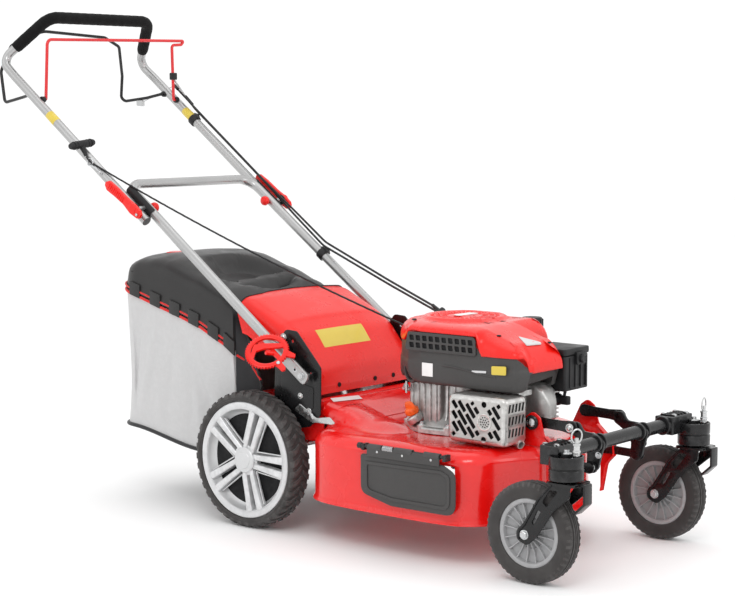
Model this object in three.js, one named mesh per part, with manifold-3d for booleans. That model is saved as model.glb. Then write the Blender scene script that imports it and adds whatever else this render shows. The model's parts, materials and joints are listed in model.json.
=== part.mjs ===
// Self-propelled petrol lawn mower, 22 inch steel deck, four-wheeled, with two
// swivelling front casters on a parallelogram axle, large rear drive wheels, an
// overhead-valve engine, a folding two-part handle and a rear grass bag.
// Millimetres. Front of the mower is -Y, its right-hand side is -X, +Z is up.
import * as THREE from 'three';
import { mergeVertices } from 'three/addons/utils/BufferGeometryUtils.js';
import Module from 'manifold-3d';

const wasm = await Module();
wasm.setup();

// ---------------------------------------------------------------- dimensions
const ORIGIN_X = 0;            // plane of symmetry
const ORIGIN_Y = 368.4;         // middle of the overall length
const TUBE_R = 11;             // 22 mm handle tube
const REAR_R = 152, REAR_W = 58, REAR_X = 223, REAR_Y = 380, REAR_Z = 152;      // 12 inch rear wheel
const CAST_R = 101.6, CAST_W = 44, CAST_X = 242, CAST_Y = -393, SWIVEL_Y = -469; // 8 inch caster, 76 mm trail
const DECK_LOW = 88, DECK_EDGE = 222, DECK_TOP = 240;
const ENG_Y = -43;             // crankshaft axis
const U1 = [-293, 289], U2 = [-380, 286];   // upper link pivots (y, z)
const L1 = [-339, 212], L2 = [-426, 209];   // lower link pivots (y, z)
const AXLE = [-435, 260];      // front axle tube axis (y, z)
const REAR_PIVOT = [325, 177]; // cross shaft of the rear axle carrier (y, z)
const FOLD = [240.7, 347.6];   // lower handle bolt (y, z)
const CAM = [716.5, 696.2];    // cam bolt of the upper handle (y, z)
const FLAP_PIVOT = [240, 303]; // rear flap rod (y, z)

// ---------------------------------------------------------------- materials
const mat = (color, roughness, metalness = 0) => new THREE.MeshStandardMaterial({ color, roughness, metalness });
const RED = mat(0xd8150e, 0.3), RED_PLASTIC = mat(0xdf1b13, 0.4), STEEL_BLACK = mat(0x141416, 0.45, 0.2);
const PLASTIC_BLACK = mat(0x1d1e20, 0.6), GREY_PLASTIC = mat(0x3a3c40, 0.6), TUBE = mat(0xb9babd, 0.35, 0.8);
const CAST = mat(0xa9aaab, 0.45, 0.8), ZINC = mat(0xc4c6c8, 0.35, 0.9), RUBBER = mat(0x26272a, 0.85);
const RIM = mat(0xc2c4c6, 0.4, 0.6), RIM_GREY = mat(0x7d8084, 0.6), FABRIC = mat(0xc9cacb, 0.9);
const ORANGE = mat(0xf0641a, 0.45), FOAM = mat(0x17181a, 0.9), BELT = mat(0x1a1a1a, 0.8);

// ---------------------------------------------------------------- helpers
// One closed, outward-facing, indexed mesh from any three.js geometry.
function clean(geo) {
  const g = geo.clone();
  for (const name of Object.keys(g.attributes)) if (name !== 'position') g.deleteAttribute(name);
  const m = mergeVertices(g, 1e-3);
  const p = m.attributes.position, ix = m.index.array;
  let vol = 0;
  const keep = [];
  for (let i = 0; i < ix.length; i += 3) {
    const [a, b, c] = [ix[i], ix[i + 1], ix[i + 2]];
    if (a === b || b === c || c === a) continue;
    keep.push(a, b, c);
    const A = [p.getX(a), p.getY(a), p.getZ(a)], B = [p.getX(b), p.getY(b), p.getZ(b)], C = [p.getX(c), p.getY(c), p.getZ(c)];
    vol += A[0] * (B[1] * C[2] - B[2] * C[1]) - A[1] * (B[0] * C[2] - B[2] * C[0]) + A[2] * (B[0] * C[1] - B[1] * C[0]);
  }
  if (vol < 0) for (let i = 0; i < keep.length; i += 3) { const t = keep[i + 1]; keep[i + 1] = keep[i + 2]; keep[i + 2] = t; }
  m.setIndex(keep);
  return m;
}
const made = new WeakMap();
const solid = (geo) => {
  if (made.has(geo)) return made.get(geo);
  const g = clean(geo);
  return new wasm.Manifold(new wasm.Mesh({ numProp: 3, vertProperties: new Float32Array(g.attributes.position.array), triVerts: new Uint32Array(g.index.array) }));
};
const geom = (m) => {
  const r = m.getMesh();
  const g = new THREE.BufferGeometry();
  const v = new Float32Array(r.numVert * 3);
  for (let i = 0; i < r.numVert; i++) for (let k = 0; k < 3; k++) v[i * 3 + k] = r.vertProperties[i * r.numProp + k];
  g.setAttribute('position', new THREE.BufferAttribute(v, 3));
  g.setIndex(Array.from(r.triVerts));
  made.set(g, m);
  return g;
};
const union = (...g) => geom(g.map(solid).reduce((a, b) => a.add(b)));
const cut = (base, ...g) => geom(g.map(solid).reduce((a, b) => a.subtract(b), solid(base)));
const M = (x, y, z) => new THREE.Matrix4().makeBasis(new THREE.Vector3(...x), new THREE.Vector3(...y), new THREE.Vector3(...z));
const shift = (g, x, y, z) => g.clone().applyMatrix4(new THREE.Matrix4().makeTranslation(x, y, z));
const mirror = (g) => clean(g.clone().applyMatrix4(new THREE.Matrix4().makeScale(-1, 1, 1)));
const box = (x0, x1, y0, y1, z0, z1) => shift(new THREE.BoxGeometry(x1 - x0, y1 - y0, z1 - z0), (x0 + x1) / 2, (y0 + y1) / 2, (z0 + z1) / 2);
// Polygon with rounded corners: entries [a, b, radius].
function shape(points) {
  const s = new THREE.Shape();
  const n = points.length, out = [];
  for (let i = 0; i < n; i++) {
    const [x, y, r = 0] = points[i];
    if (!r) { out.push([x, y]); continue; }
    const p = points[(i + n - 1) % n], q = points[(i + 1) % n];
    const a = new THREE.Vector2(p[0] - x, p[1] - y), b = new THREE.Vector2(q[0] - x, q[1] - y);
    const la = a.length(), lb = b.length();
    a.normalize(); b.normalize();
    const half = Math.acos(THREE.MathUtils.clamp(a.dot(b), -1, 1)) / 2;
    const d = Math.min(r / Math.tan(half), la * 0.49, lb * 0.49);
    for (const t of [0, 0.5, 1]) {
      const u = (1 - t) * (1 - t), v = 2 * t * (1 - t), w = t * t;
      out.push([u * (x + a.x * d) + v * x + w * (x + b.x * d), u * (y + a.y * d) + v * y + w * (y + b.y * d)]);
    }
  }
  s.setFromPoints(out.map(([x, y]) => new THREE.Vector2(x, y)));
  return s;
}
const extrude = (points, depth, holes = []) => {
  const s = shape(points);
  for (const [x, y, r, n = 12] of holes) {
    const h = [];
    for (let i = 0; i < n; i++) h.push(new THREE.Vector2(x + r * Math.cos(2 * Math.PI * i / n), y - r * Math.sin(2 * Math.PI * i / n)));
    s.holes.push(new THREE.Path().setFromPoints(h));
  }
  return new THREE.ExtrudeGeometry(s, { depth, bevelEnabled: false, curveSegments: 4 });
};
// Plates: outline in Y-Z pushed along X, in X-Y pushed along Z, in X-Z pushed along Y.
const plateX = (points, x0, x1, holes) => shift(extrude(points, x1 - x0, holes).applyMatrix4(M([0, 1, 0], [0, 0, 1], [1, 0, 0])), x0, 0, 0);
const plateZ = (points, z0, z1, holes) => shift(extrude(points, z1 - z0, holes), 0, 0, z0);
const plateY = (points, y0, y1, holes) => shift(extrude(points, y1 - y0, holes).applyMatrix4(M([1, 0, 0], [0, 0, 1], [0, -1, 0])), 0, y1, 0);
// Turned pieces: profile [radius, height] about an axis.
const turn = (profile, n, axis) => {
  const g = new THREE.LatheGeometry(profile.map(([r, h]) => new THREE.Vector2(r, h)), n);
  if (axis === 'x') g.applyMatrix4(new THREE.Matrix4().makeRotationZ(-Math.PI / 2));
  if (axis === 'z') g.applyMatrix4(new THREE.Matrix4().makeRotationX(Math.PI / 2));
  return g;
};
const discX = (r, x0, x1, y, z, n = 16) => shift(turn([[0, x0], [r, x0], [r, x1], [0, x1]], n, 'x'), 0, y, z);
const discZ = (r, z0, z1, x, y, n = 16) => shift(turn([[0, z0], [r, z0], [r, z1], [0, z1]], n, 'z'), x, y, 0);
const rod = (a, b, r, n = 10) => {
  const A = new THREE.Vector3(...a), B = new THREE.Vector3(...b), d = B.clone().sub(A);
  const g = new THREE.CylinderGeometry(r, r, d.length(), n);
  g.applyQuaternion(new THREE.Quaternion().setFromUnitVectors(new THREE.Vector3(0, 1, 0), d.clone().normalize()));
  return shift(g, (a[0] + b[0]) / 2, (a[1] + b[1]) / 2, (a[2] + b[2]) / 2);
};
// A path whose stations are exactly the given points.
class Stations extends THREE.Curve {
  constructor(points) { super(); this.p = points.map((q) => new THREE.Vector3(...q)); }
  getPoint(t, target = new THREE.Vector3()) {
    const n = this.p.length - 1, k = Math.min(Math.floor(t * n + 1e-9), n - 1);
    return target.copy(this.p[k]).lerp(this.p[k + 1], t * n - k);
  }
  getPointAt(u, target) { return this.getPoint(u, target); }
  getSpacedPoints(n) { return Array.from({ length: n + 1 }, (_, i) => this.getPoint(i / n)); }
  getTangentAt(u, target = new THREE.Vector3()) {
    const n = this.p.length - 1, k = Math.round(u * n);
    const a = this.p[Math.max(k - 1, 0)], m = this.p[k], b = this.p[Math.min(k + 1, n)];
    const d = new THREE.Vector3();
    if (k > 0) d.add(m.clone().sub(a).normalize());
    if (k < n) d.add(b.clone().sub(m).normalize());
    return target.copy(d.normalize());
  }
}
// Bent run: corner points [x, y, z, bend radius], arcs in steps of about 20 degrees.
function bend(points, stepDeg = 30) {
  const out = [];
  points.forEach(([x, y, z, r = 0], i) => {
    if (!r || i === 0 || i === points.length - 1) { out.push([x, y, z]); return; }
    const P = new THREE.Vector3(x, y, z);
    const a = new THREE.Vector3(...points[i - 1].slice(0, 3)).sub(P), b = new THREE.Vector3(...points[i + 1].slice(0, 3)).sub(P);
    const la = a.length(), lb = b.length();
    a.normalize(); b.normalize();
    const ang = Math.acos(THREE.MathUtils.clamp(a.dot(b), -1, 1)), turnAng = Math.PI - ang;
    const d = Math.min(r / Math.tan(ang / 2), la * 0.48, lb * 0.48), rr = d * Math.tan(ang / 2);
    const c = P.clone().add(a.clone().add(b).normalize().multiplyScalar(rr / Math.sin(ang / 2)));
    const s = P.clone().add(a.clone().multiplyScalar(d)).sub(c), e = P.clone().add(b.clone().multiplyScalar(d)).sub(c);
    const n = Math.max(2, Math.round(turnAng * 180 / Math.PI / stepDeg));
    for (let k = 0; k <= n; k++) {
      const t = k / n, w0 = Math.sin((1 - t) * turnAng) / Math.sin(turnAng), w1 = Math.sin(t * turnAng) / Math.sin(turnAng);
      const q = c.clone().add(s.clone().multiplyScalar(w0)).add(e.clone().multiplyScalar(w1));
      out.push([q.x, q.y, q.z]);
    }
  });
  return out;
}
const tube = (points, r, n = 10, bore = 0) => {
  const ring = (rad, dir) => Array.from({ length: n }, (_, i) => new THREE.Vector2(rad * Math.cos(dir * 2 * Math.PI * i / n), rad * Math.sin(dir * 2 * Math.PI * i / n)));
  const s = new THREE.Shape().setFromPoints(ring(r, 1));
  if (bore) s.holes.push(new THREE.Path().setFromPoints(ring(bore, -1)));
  return new THREE.ExtrudeGeometry(s, { steps: points.length - 1, bevelEnabled: false, extrudePath: new Stations(points) });
};
const both = (pts) => [...pts, ...pts.slice().reverse().filter(([x]) => x !== 0).map(([x, ...r]) => [-x, ...r])];

const mower = new THREE.Group();
mower.position.set(-ORIGIN_X, -ORIGIN_Y, 0);
const add = (name, geo, material) => {
  const mesh = new THREE.Mesh(clean(geo), material);
  mesh.name = name;
  mower.add(mesh);
  return mesh;
};
// Right-hand piece and its mirror image on the left.
const pair = (name, geo, material) => { add(name + '_right', geo, material); add(name + '_left', mirror(geo), material); };

// ---------------------------------------------------------------- cutting deck
const outline = (k) => [[0, -326 + k], [-106 + k * 0.2, -325 + k], [-125 + k * 0.6, -314 + k * 0.8], [-150 + k * 0.6, -298 + k * 0.8], [-190 + k * 0.6, -280 + k * 0.8],
  [-215 + k * 0.7, -268 + k * 0.7], [-243 + k * 0.8, -245 + k * 0.6], [-260 + k, -215 + k * 0.4], [-267 + k, -170], [-269 + k, -60], [-267 + k, 60],
  [-258 + k, 140 - k * 0.3], [-238 + k * 0.8, 188 - k * 0.6], [-205 + k * 0.6, 212 - k], [0, 222 - k], [205 - k * 0.6, 212 - k], [238 - k * 0.8, 188 - k * 0.6],
  [258 - k, 140 - k * 0.3], [267 - k, 60], [268 - k, -40], [261 - k, -120], [240 - k * 0.9, -182 + k * 0.4], [200 - k * 0.8, -232 + k * 0.6], [150 - k * 0.6, -270 + k * 0.8], [100 - k * 0.4, -303 + k * 0.9], [58 - k * 0.2, -320 + k]];
const ramp = (d) => [[92 + d, 238 - d], [222, 290 - d], [228 - d, 290 - d], [228 - d, 200 - d], [92 + d, 200 - d]];
const deckOuter = union(plateZ(outline(0), DECK_LOW, DECK_EDGE), plateZ(outline(20), DECK_EDGE - 1, DECK_TOP), plateX(ramp(0), -166, 166), box(-173, 173, 205, 390, 200, 288), box(-160, 160, 380, 432, 200, 288));
add('deck', cut(deckOuter, plateZ(outline(3), 70, DECK_EDGE - 3), plateZ(outline(23), 200, DECK_TOP - 3), plateX(ramp(3), -163, 163), box(-170, 170, 200, 387, 150, 285), box(-157, 157, 380, 450, 150, 285),
  discZ(26, 230, 250, 0, ENG_Y, 20), box(40, 152, 190, 240, 140, 172), box(-280, -255, -205, -5, 122, 210)), RED);
// pivot horns for the front axle links, welded to the front of the deck
pair('front_bracket', cut(plateX([[-222, 240.5], [-252, 252, 20], [-276, 300, 14], [-293, 312, 12], [-311, 300, 12], [-322, 262, 20], [-364, 226, 12], [-366, 200, 12], [-346, 180, 20], [-334, 120], [-326.5, 118], [-326.5, 236], [-312, 240.5]], -103, -99),
  discX(8.6, -110, -90, U1[0], U1[1], 12), discX(6.6, -110, -90, L1[0], L1[1], 12)), RED);
// black side plates that carry the handle, the rear cross shaft and the flap rod
pair('handle_plate', cut(plateX([[236, 234, 14], [206, 262, 10], [204, 366, 14], [274, 441, 10], [306, 443, 14], [336, 400, 20], [342, 290, 20], [342, 205, 10], [346, 162, 14], [322, 156, 14], [304, 165, 10], [296, 222, 10]], -190, -186.5),
  discX(8.5, -200, -180, REAR_PIVOT[0], REAR_PIVOT[1], 12), discX(5.4, -200, -180, FOLD[0], FOLD[1], 10)), STEEL_BLACK);

// ---------------------------------------------------------------- side discharge flap
add('side_flap_rod', union(rod([-277, -196, 231], [-277, 6, 231], 4, 8), box(-281, -264, -206, -196, 222.3, 236), box(-281, -264, 6, 16, 222.3, 236)), STEEL_BLACK);
add('side_flap', cut(union(plateX([[20, 216, 8], [20, 132, 22], [-60, 113, 30], [-226, 113, 26], [-226, 200, 20], [-196, 216, 10]], -276, -271.5),
  plateX([[4, 214], [4, 240], [-194, 240], [-194, 214]], -283, -271.5)), rod([-277, -220, 231], [-277, 20, 231], 4.4, 8)), PLASTIC_BLACK);

// ---------------------------------------------------------------- engine
const crankBore = discZ(14, 200, 330, 0, ENG_Y, 14);
add('crankcase', cut(union(discZ(131, DECK_TOP + 0.4, 262, 0, ENG_Y, 24), discZ(96, 260, 350, 0, ENG_Y, 16), box(-62, 62, -238, -100, 250, 336), box(-100, -60, -60, 30, 255, 345), box(-100, -60, -228, -150, 262, 330)), crankBore), CAST);
add('muffler_guard', union(plateX([[-141, 248, 8], [-287, 246, 10], [-287, 344, 12], [-141, 346, 12]], -190, -120), box(-121, -101, -210, -160, 275, 318)), CAST);
add('valve_cover', plateX([[-239, 274, 6], [-239, 352, 6], [-262, 352, 4], [-292, 330, 8], [-292, 284, 10], [-266, 272, 6]], -58, 1), CAST);
add('spark_cap', union(discX(13, 1.4, 30, -268, 318, 12), box(14, 30, -300, -262, 308, 328)), PLASTIC_BLACK);
const shroudLine = [[0, 92, 30], [-62, 86, 30], [-108, 46, 30], [-140, 4, 30], [-152, -40, 20], [-153, -236, 20], [-146, -282, 14], [-104, -297, 10], [0, -299, 6], [0, -196], [96, -196, 16], [146, -130, 40], [150, -20, 40], [108, 50, 40], [60, 86, 30]];
const inset = (pts, k) => pts.map(([x, y, r = 0]) => [x * (1 - k / 150), ENG_Y + (y - ENG_Y) * (1 - k / 170), r]);
add('shroud', cut(plateZ(shroudLine, 357, 428), plateZ(inset(shroudLine, 8), 350, 424)), GREY_PLASTIC);
add('recoil_cover', cut(union(plateZ(inset(shroudLine, 3), 428.3, 446), plateZ(inset(shroudLine, 26), 440, 462), shift(turn([[0, 436], [96, 436], [92, 466], [70, 476], [40, 481], [0, 482]], 20, 'z'), 0, ENG_Y, 0)), discZ(25, 446, 500, 112, -140, 16)), RED_PLASTIC);
add('air_filter', plateZ([[3, -300, 6], [96, -298, 10], [98, -204, 6], [3, -204, 4]], 338, 427), PLASTIC_BLACK);
add('fuel_cap', discZ(23, 446.4, 462, 112, -140, 16), PLASTIC_BLACK);
add('dipstick', rod([-120, 4, 277], [-130, 10, 304], 14, 12), ORANGE);

// ---------------------------------------------------------------- crankshaft, blade and drive
add('crankshaft', union(discZ(12.5, 108, 322, 0, ENG_Y, 12), discZ(30, 148, 151, 0, ENG_Y, 20), discZ(22, 150, 159, 0, ENG_Y, 20), discZ(30, 158, 161, 0, ENG_Y, 20)), ZINC);
add('blade', union(plateZ([[-250, ENG_Y - 26], [-250, ENG_Y + 20], [-190, ENG_Y + 26], [190, ENG_Y + 26], [250, ENG_Y + 26], [250, ENG_Y - 20], [190, ENG_Y - 26], [-190, ENG_Y - 26]], 103, 107.6), discZ(15, 96, 104, 0, ENG_Y, 6)), STEEL_BLACK);
const GEAR = [96, 268];
add('gearbox', cut(union(box(62, 130, 246, 346, 166, 197), discZ(12, 160, 170, ...GEAR, 12)), rod([50, ...REAR_PIVOT], [140, ...REAR_PIVOT], 8.5, 12), discZ(6.4, 150, 196, ...GEAR, 10)), CAST);
add('gearbox_pulley', union(discZ(6, 148, 194, ...GEAR, 10), discZ(28, 148, 151, ...GEAR, 20), discZ(20, 150, 158, ...GEAR, 20), discZ(28, 157, 159.6, ...GEAR, 20)), ZINC);
{ // V-belt round both pulleys, running in their grooves
  const a = [0, ENG_Y], b = GEAR, ra = 22.5, rb = 20.5, dx = b[0] - a[0], dy = b[1] - a[1], th = Math.atan2(dy, dx);
  const loop = (k) => { const o = []; for (let i = 0; i <= 8; i++) { const t = th + Math.PI / 2 + Math.PI * i / 8; o.push([a[0] + (ra + k) * Math.cos(t), a[1] + (ra + k) * Math.sin(t)]); } for (let i = 0; i <= 8; i++) { const t = th - Math.PI / 2 + Math.PI * i / 8; o.push([b[0] + (rb + k) * Math.cos(t), b[1] + (rb + k) * Math.sin(t)]); } return o; };
  add('drive_belt', cut(plateZ(loop(6), 151.5, 156.7), plateZ(loop(0), 140, 170)), BELT);
}

// ---------------------------------------------------------------- rear axle and wheels
add('rear_axle', union(rod([-186, ...REAR_PIVOT], [186, ...REAR_PIVOT], 8, 12),
  plateX([[318, 190, 8], [312, 172, 8], [325, 163, 8], [372, 139, 8], [390, 144, 8], [390, 162, 8], [372, 166, 8], [335, 192, 8]], -186, -178), plateX([[318, 190, 8], [312, 172, 8], [325, 163, 8], [372, 139, 8], [390, 144, 8], [390, 162, 8], [372, 166, 8], [335, 192, 8]], 178, 186),
  rod([-262, REAR_Y, REAR_Z], [-180, REAR_Y, REAR_Z], 8, 12), rod([180, REAR_Y, REAR_Z], [262, REAR_Y, REAR_Z], 8, 12), discX(9, -266, -260, REAR_Y, REAR_Z, 6), discX(9, 260, 266, REAR_Y, REAR_Z, 6)), ZINC);
const at = (g, x, y, z) => shift(g, x, y, z);
pair('rear_tyre', at(turn([[130.4, -24], [146, -27], [152, -18], [152, 18], [146, 27], [130.4, 24], [130.4, -24]], 28, 'x'), -REAR_X, REAR_Y, REAR_Z), RUBBER);
pair('rear_rim', at(turn([[8.9, -34], [26, -34], [30, -16], [112, -16], [119, -26], [129, -26], [129, 24], [118, 24], [114, -6], [28, -4], [26, 20], [8.9, 20], [8.9, -34]], 20, 'x'), -REAR_X, REAR_Y, REAR_Z), RIM);

// ---------------------------------------------------------------- cutting-height lever
add('height_lever', union(plateX([[280, 268, 6], [262, 284, 6], [214, 256, 8], [176, 262, 6], [160, 249, 5], [170, 246, 4], [212, 246, 6], [226, 244, 6]], -194.8, -191), discX(9, -195.4, -190.6, 228, 258, 10)), ZINC);

// ---------------------------------------------------------------- front axle links
const linkPlate = (a, b, r, x0, x1) => {
  const d = Math.hypot(b[0] - a[0], b[1] - a[1]), c = (b[0] - a[0]) / d, s = (b[1] - a[1]) / d, out = [];
  for (let i = 0; i <= 6; i++) { const t = Math.PI / 2 + Math.PI * i / 6; out.push([a[0] + r * (Math.cos(t) * c - Math.sin(t) * s), a[1] + r * (Math.cos(t) * s + Math.sin(t) * c)]); }
  for (let i = 0; i <= 6; i++) { const t = -Math.PI / 2 + Math.PI * i / 6; out.push([b[0] + r * (Math.cos(t) * c - Math.sin(t) * s), b[1] + r * (Math.cos(t) * s + Math.sin(t) * c)]); }
  return plateX(out, x0, x1);
};
pair('upper_link', cut(union(linkPlate(U1, U2, 13, -93, -88), discX(8, -106, -92, ...U1, 12), discX(15, -109, -103.4, ...U1, 16)), discX(6, -99, -80, ...U2, 8)), STEEL_BLACK);
pair('lower_link', union(linkPlate(L1, L2, 11, -97.5, -92.8), discX(6, -106, -97, ...L1, 12), discX(9, -107.5, -103.4, ...L1, 6)), STEEL_BLACK);
const dogbone = [[-370, 297, 6], [-392, 297, 10], [-404, 280, 10], [-432, 278, 12], [-455, 262, 12], [-446, 232, 10], [-440, 208, 10], [-428, 197, 8], [-412, 206, 10], [-414, 236, 10], [-392, 262, 12], [-372, 274, 8]];
add('axle_tube', union(rod([-236, ...AXLE], [236, ...AXLE], 14, 14),
  plateX(dogbone, -86, -79), plateX(dogbone, 79, 86), discX(5.5, -101, -80, ...U2, 8), discX(5.5, 80, 101, ...U2, 8)), STEEL_BLACK);

// ---------------------------------------------------------------- casters
const sw = [-CAST_X, SWIVEL_Y];
pair('caster_head', cut(union(discZ(34.5, 214, 262, ...sw, 24), box(-272, -172, AXLE[0] - 21, AXLE[0] + 21, AXLE[1] - 21, AXLE[1] + 19)),
  rod([-300, ...AXLE], [-150, ...AXLE], 14.5, 14), discZ(11.4, 190, 300, ...sw, 14), discZ(4.4, 190, 300, sw[0], sw[1] - 23, 8)), STEEL_BLACK);
const arm = [[-480, 207.4], [-454, 207.4], [-424, 176, 10], [-392, 122, 14], [-378, 108, 12], [-378, 92, 12], [-398, 84, 12], [-412, 98, 12], [-452, 166, 10]];
pair('caster_fork', cut(union(plateZ([[sw[0] - 31, -506, 6], [sw[0] - 31, -440, 10], [sw[0] + 31, -440, 10], [sw[0] + 31, -506, 6]], 206.6, 212),
  plateX(arm, sw[0] - 31, sw[0] - 27), plateX(arm, sw[0] + 27, sw[0] + 31),
  plateX([[-500, 212], [-520, 212], [-520, 172], [-496, 150], [-493, 154], [-516, 174], [-516, 207], [-500, 207]], sw[0] - 13, sw[0] + 13),
  discX(6, sw[0] - 38, sw[0] + 38, CAST_Y, CAST_R, 10), discX(9, sw[0] - 39, sw[0] - 30.5, CAST_Y, CAST_R, 6), discX(9, sw[0] + 30.5, sw[0] + 39, CAST_Y, CAST_R, 6),
  discZ(11, 210, 272, ...sw, 12), discZ(12.4, 262.6, 274, ...sw, 6)), discZ(5, 200, 220, sw[0], sw[1] - 23, 8)), STEEL_BLACK);
pair('caster_tyre', at(turn([[69.4, -17], [94, -21.5], [101.6, -12], [101.6, 12], [94, 21.5], [69.4, 17], [69.4, -17]], 24, 'x'), -CAST_X, CAST_Y, CAST_R), RUBBER);
pair('caster_rim', at(turn([[6.6, -24], [14, -24], [15, -10], [58, -10], [60, -17], [68, -17], [68, 17], [60, 17], [58, 10], [15, 10], [14, 24], [6.6, 24], [6.6, -24]], 16, 'x'), -CAST_X, CAST_Y, CAST_R), RIM_GREY);
pair('lock_pin', union(discZ(4, 221.5, 300, sw[0], sw[1] - 23, 8), discZ(8, 271, 288, sw[0], sw[1] - 23, 10), discZ(9, 296, 308, sw[0], sw[1] - 23, 10)), ZINC);

// ---------------------------------------------------------------- rear flap and grass bag
const flapOut = [[231, 300.5, 3], [230, 316, 6], [262, 362, 30], [300, 412, 30], [330, 444, 30], [424, 493, 20], [440, 498], [443, 492], [443, 446], [420, 405], [392, 360, 20], [330, 306, 10]];
const flapIn = [[236, 290], [236, 318, 6], [266, 360, 30], [303, 409, 30], [333, 440, 30], [431, 491, 20], [470, 500], [470, 290]];
add('rear_flap', cut(union(plateX(flapOut, -184, 184), rod([-186, ...FLAP_PIVOT], [186, ...FLAP_PIVOT], 4, 8)), plateX(flapIn, -181, 181), rod([-150, ...FLAP_PIVOT], [150, ...FLAP_PIVOT], 12, 8), box(-181, 181, 200, 500, 280, 300.4)), RED_PLASTIC);
const bagSide = [[404, 160, 10], [592, 140, 20], [800, 178, 12], [820, 200, 12], [832, 520, 6], [848, 545, 8], [842, 568, 10], [780, 580, 20], [700, 584, 40], [600, 548, 20], [500, 506, 20], [462, 480, 10], [458, 448, 8], [428, 400, 20], [396, 310, 10]];
const bagIn = [[380, 166], [592, 146, 20], [796, 184, 12], [814, 204, 12], [826, 520, 6], [838, 560, 10], [780, 574, 20], [700, 577, 40], [602, 542, 20], [502, 500, 20], [462, 474, 10], [380, 440]];
const bagWhole = cut(plateX(bagSide, -189, 189), plateX(bagIn, -185, 185), box(-200, -172.4, 380, 460, 130, 520), box(172.4, 200, 380, 460, 130, 520));
const bagShell = union(bagWhole, cut(plateX([[404, 160], [463, 153], [463, 480], [457, 448, 8], [428, 400, 20], [396, 310, 10]], -172, 172), plateX([[370, 166], [500, 159], [500, 520], [466, 520], [450, 446], [420, 398], [388, 300]], -168, 168)),
  box(-189, -168, 459, 464, 160, 470), box(168, 189, 459, 464, 160, 470));
const piping = (d) => [[300, 272 + d], [900, 566 + d], [900, 1000], [300, 1000]];
const pipingLow = (d) => [[300, 272 - d], [900, 566 - d], [900, 0], [300, 0]];
add('bag_body', cut(bagShell, plateX(piping(-0.3), -300, 300)), FABRIC);
add('bag_cover', cut(bagShell, plateX(pipingLow(-0.3), -300, 300), plateX([[748, 590], [748, 574], [800, 571], [800, 590]], -92, -18)), PLASTIC_BLACK);
add('bag_indicator', plateX([[750, 582], [750, 578.6], [798, 576.4], [798, 580]], -90, -20), RED_PLASTIC);

// ---------------------------------------------------------------- handle
const s = [(CAM[0] - FOLD[0]) / Math.hypot(CAM[0] - FOLD[0], CAM[1] - FOLD[1]), (CAM[1] - FOLD[1]) / Math.hypot(CAM[0] - FOLD[0], CAM[1] - FOLD[1])];
const along = (p, d, n = 0) => [p[0] + s[0] * d - s[1] * n, p[1] + s[1] * d + s[0] * n];
const flat = [along(FOLD, -17, -14), along(FOLD, 78, -14), along(FOLD, 92, -10), along(FOLD, 92, 10), along(FOLD, 78, 14), along(FOLD, -17, 14)];
const lowBar = [788, 748];
add('lower_handle', cut(union(tube(bend([[-209, ...along(FOLD, 84)], [-206, ...along(CAM, 0)], [-206, ...lowBar, 42], [206, ...lowBar, 42], [206, ...along(CAM, 0)], [209, ...along(FOLD, 84)]]), TUBE_R, 8),
  plateX(flat, -213, -206), plateX(flat, 206, 213), discX(5, -217, -186.8, ...FOLD, 10), discX(5, 186.8, 217, ...FOLD, 10)), discX(5.6, -230, -180, ...CAM, 8), discX(5.6, 180, 230, ...CAM, 8)), TUBE);
const upperPts = (r) => bend([[-229, 698, 666], [-231, 1150, 1002.5], [-228, 1200, 1040, r], [-163, 1096, 1143, 40], [163, 1096, 1143, 40], [228, 1200, 1040, r], [231, 1150, 1002.5], [229, 698, 666]]);
add('upper_handle', union(tube(upperPts(30), TUBE_R, 8), discX(5, -246, -194.5, ...CAM, 8), discX(5, 194.5, 246, ...CAM, 8)), TUBE);
{ // foam grip round the top loop
  const p = upperPts(30), k = p.findIndex(([, , z]) => z > 1066);
  const q = p.slice(k, p.length - k);
  add('grip', tube(q, 14.5, 8, 12.2), FOAM);
}
const camLever = plateX([[-30, -8], [0, -16], [30, -12], [96, -18], [106, -8], [98, 6], [30, 10], [0, 14], [-26, 12]].map(([d, n]) => [...along(CAM, d, n), 5]), -258, -247);
pair('cam_lever', camLever, RED_PLASTIC);
// height-locking rings beside the lower tubes, hinged along the tube
const ringC = new THREE.Vector3(-244, 311, 399), ringN = new THREE.Vector3(-0.53, -0.50, 0.69).normalize();
const hingeP = (d) => { const q = along(FOLD, d, 0); return [-227, q[0], q[1]]; };
{
  const torus = extrude([...Array(20)].map((_, i) => [50 * Math.cos(i * Math.PI / 10), 44 * Math.sin(i * Math.PI / 10)]), 7, [[0, 0, 36, 16]]);
  const yAx = new THREE.Vector3(0, s[0], s[1]); yAx.sub(ringN.clone().multiplyScalar(yAx.dot(ringN))).normalize();
  const xAx = yAx.clone().cross(ringN).normalize();
  const place = new THREE.Matrix4().makeBasis(xAx, yAx, ringN).setPosition(ringC.x, ringC.y, ringC.z);
  const ring = shift(torus, 0, 0, -3.5).applyMatrix4(place);
  const spoke = box(-42, 42, -9, 5, -2.6, 2.6).applyMatrix4(place);
  pair('ring_lock', cut(union(ring, spoke, rod(hingeP(60), hingeP(96), 5.5, 8), rod(hingeP(78), [-252, 312, 396], 5, 8)), tube([[-209, ...along(FOLD, 0)], [-207.6, ...along(FOLD, 300)]], TUBE_R + 2.4, 10)), RED_PLASTIC);
}

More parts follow.
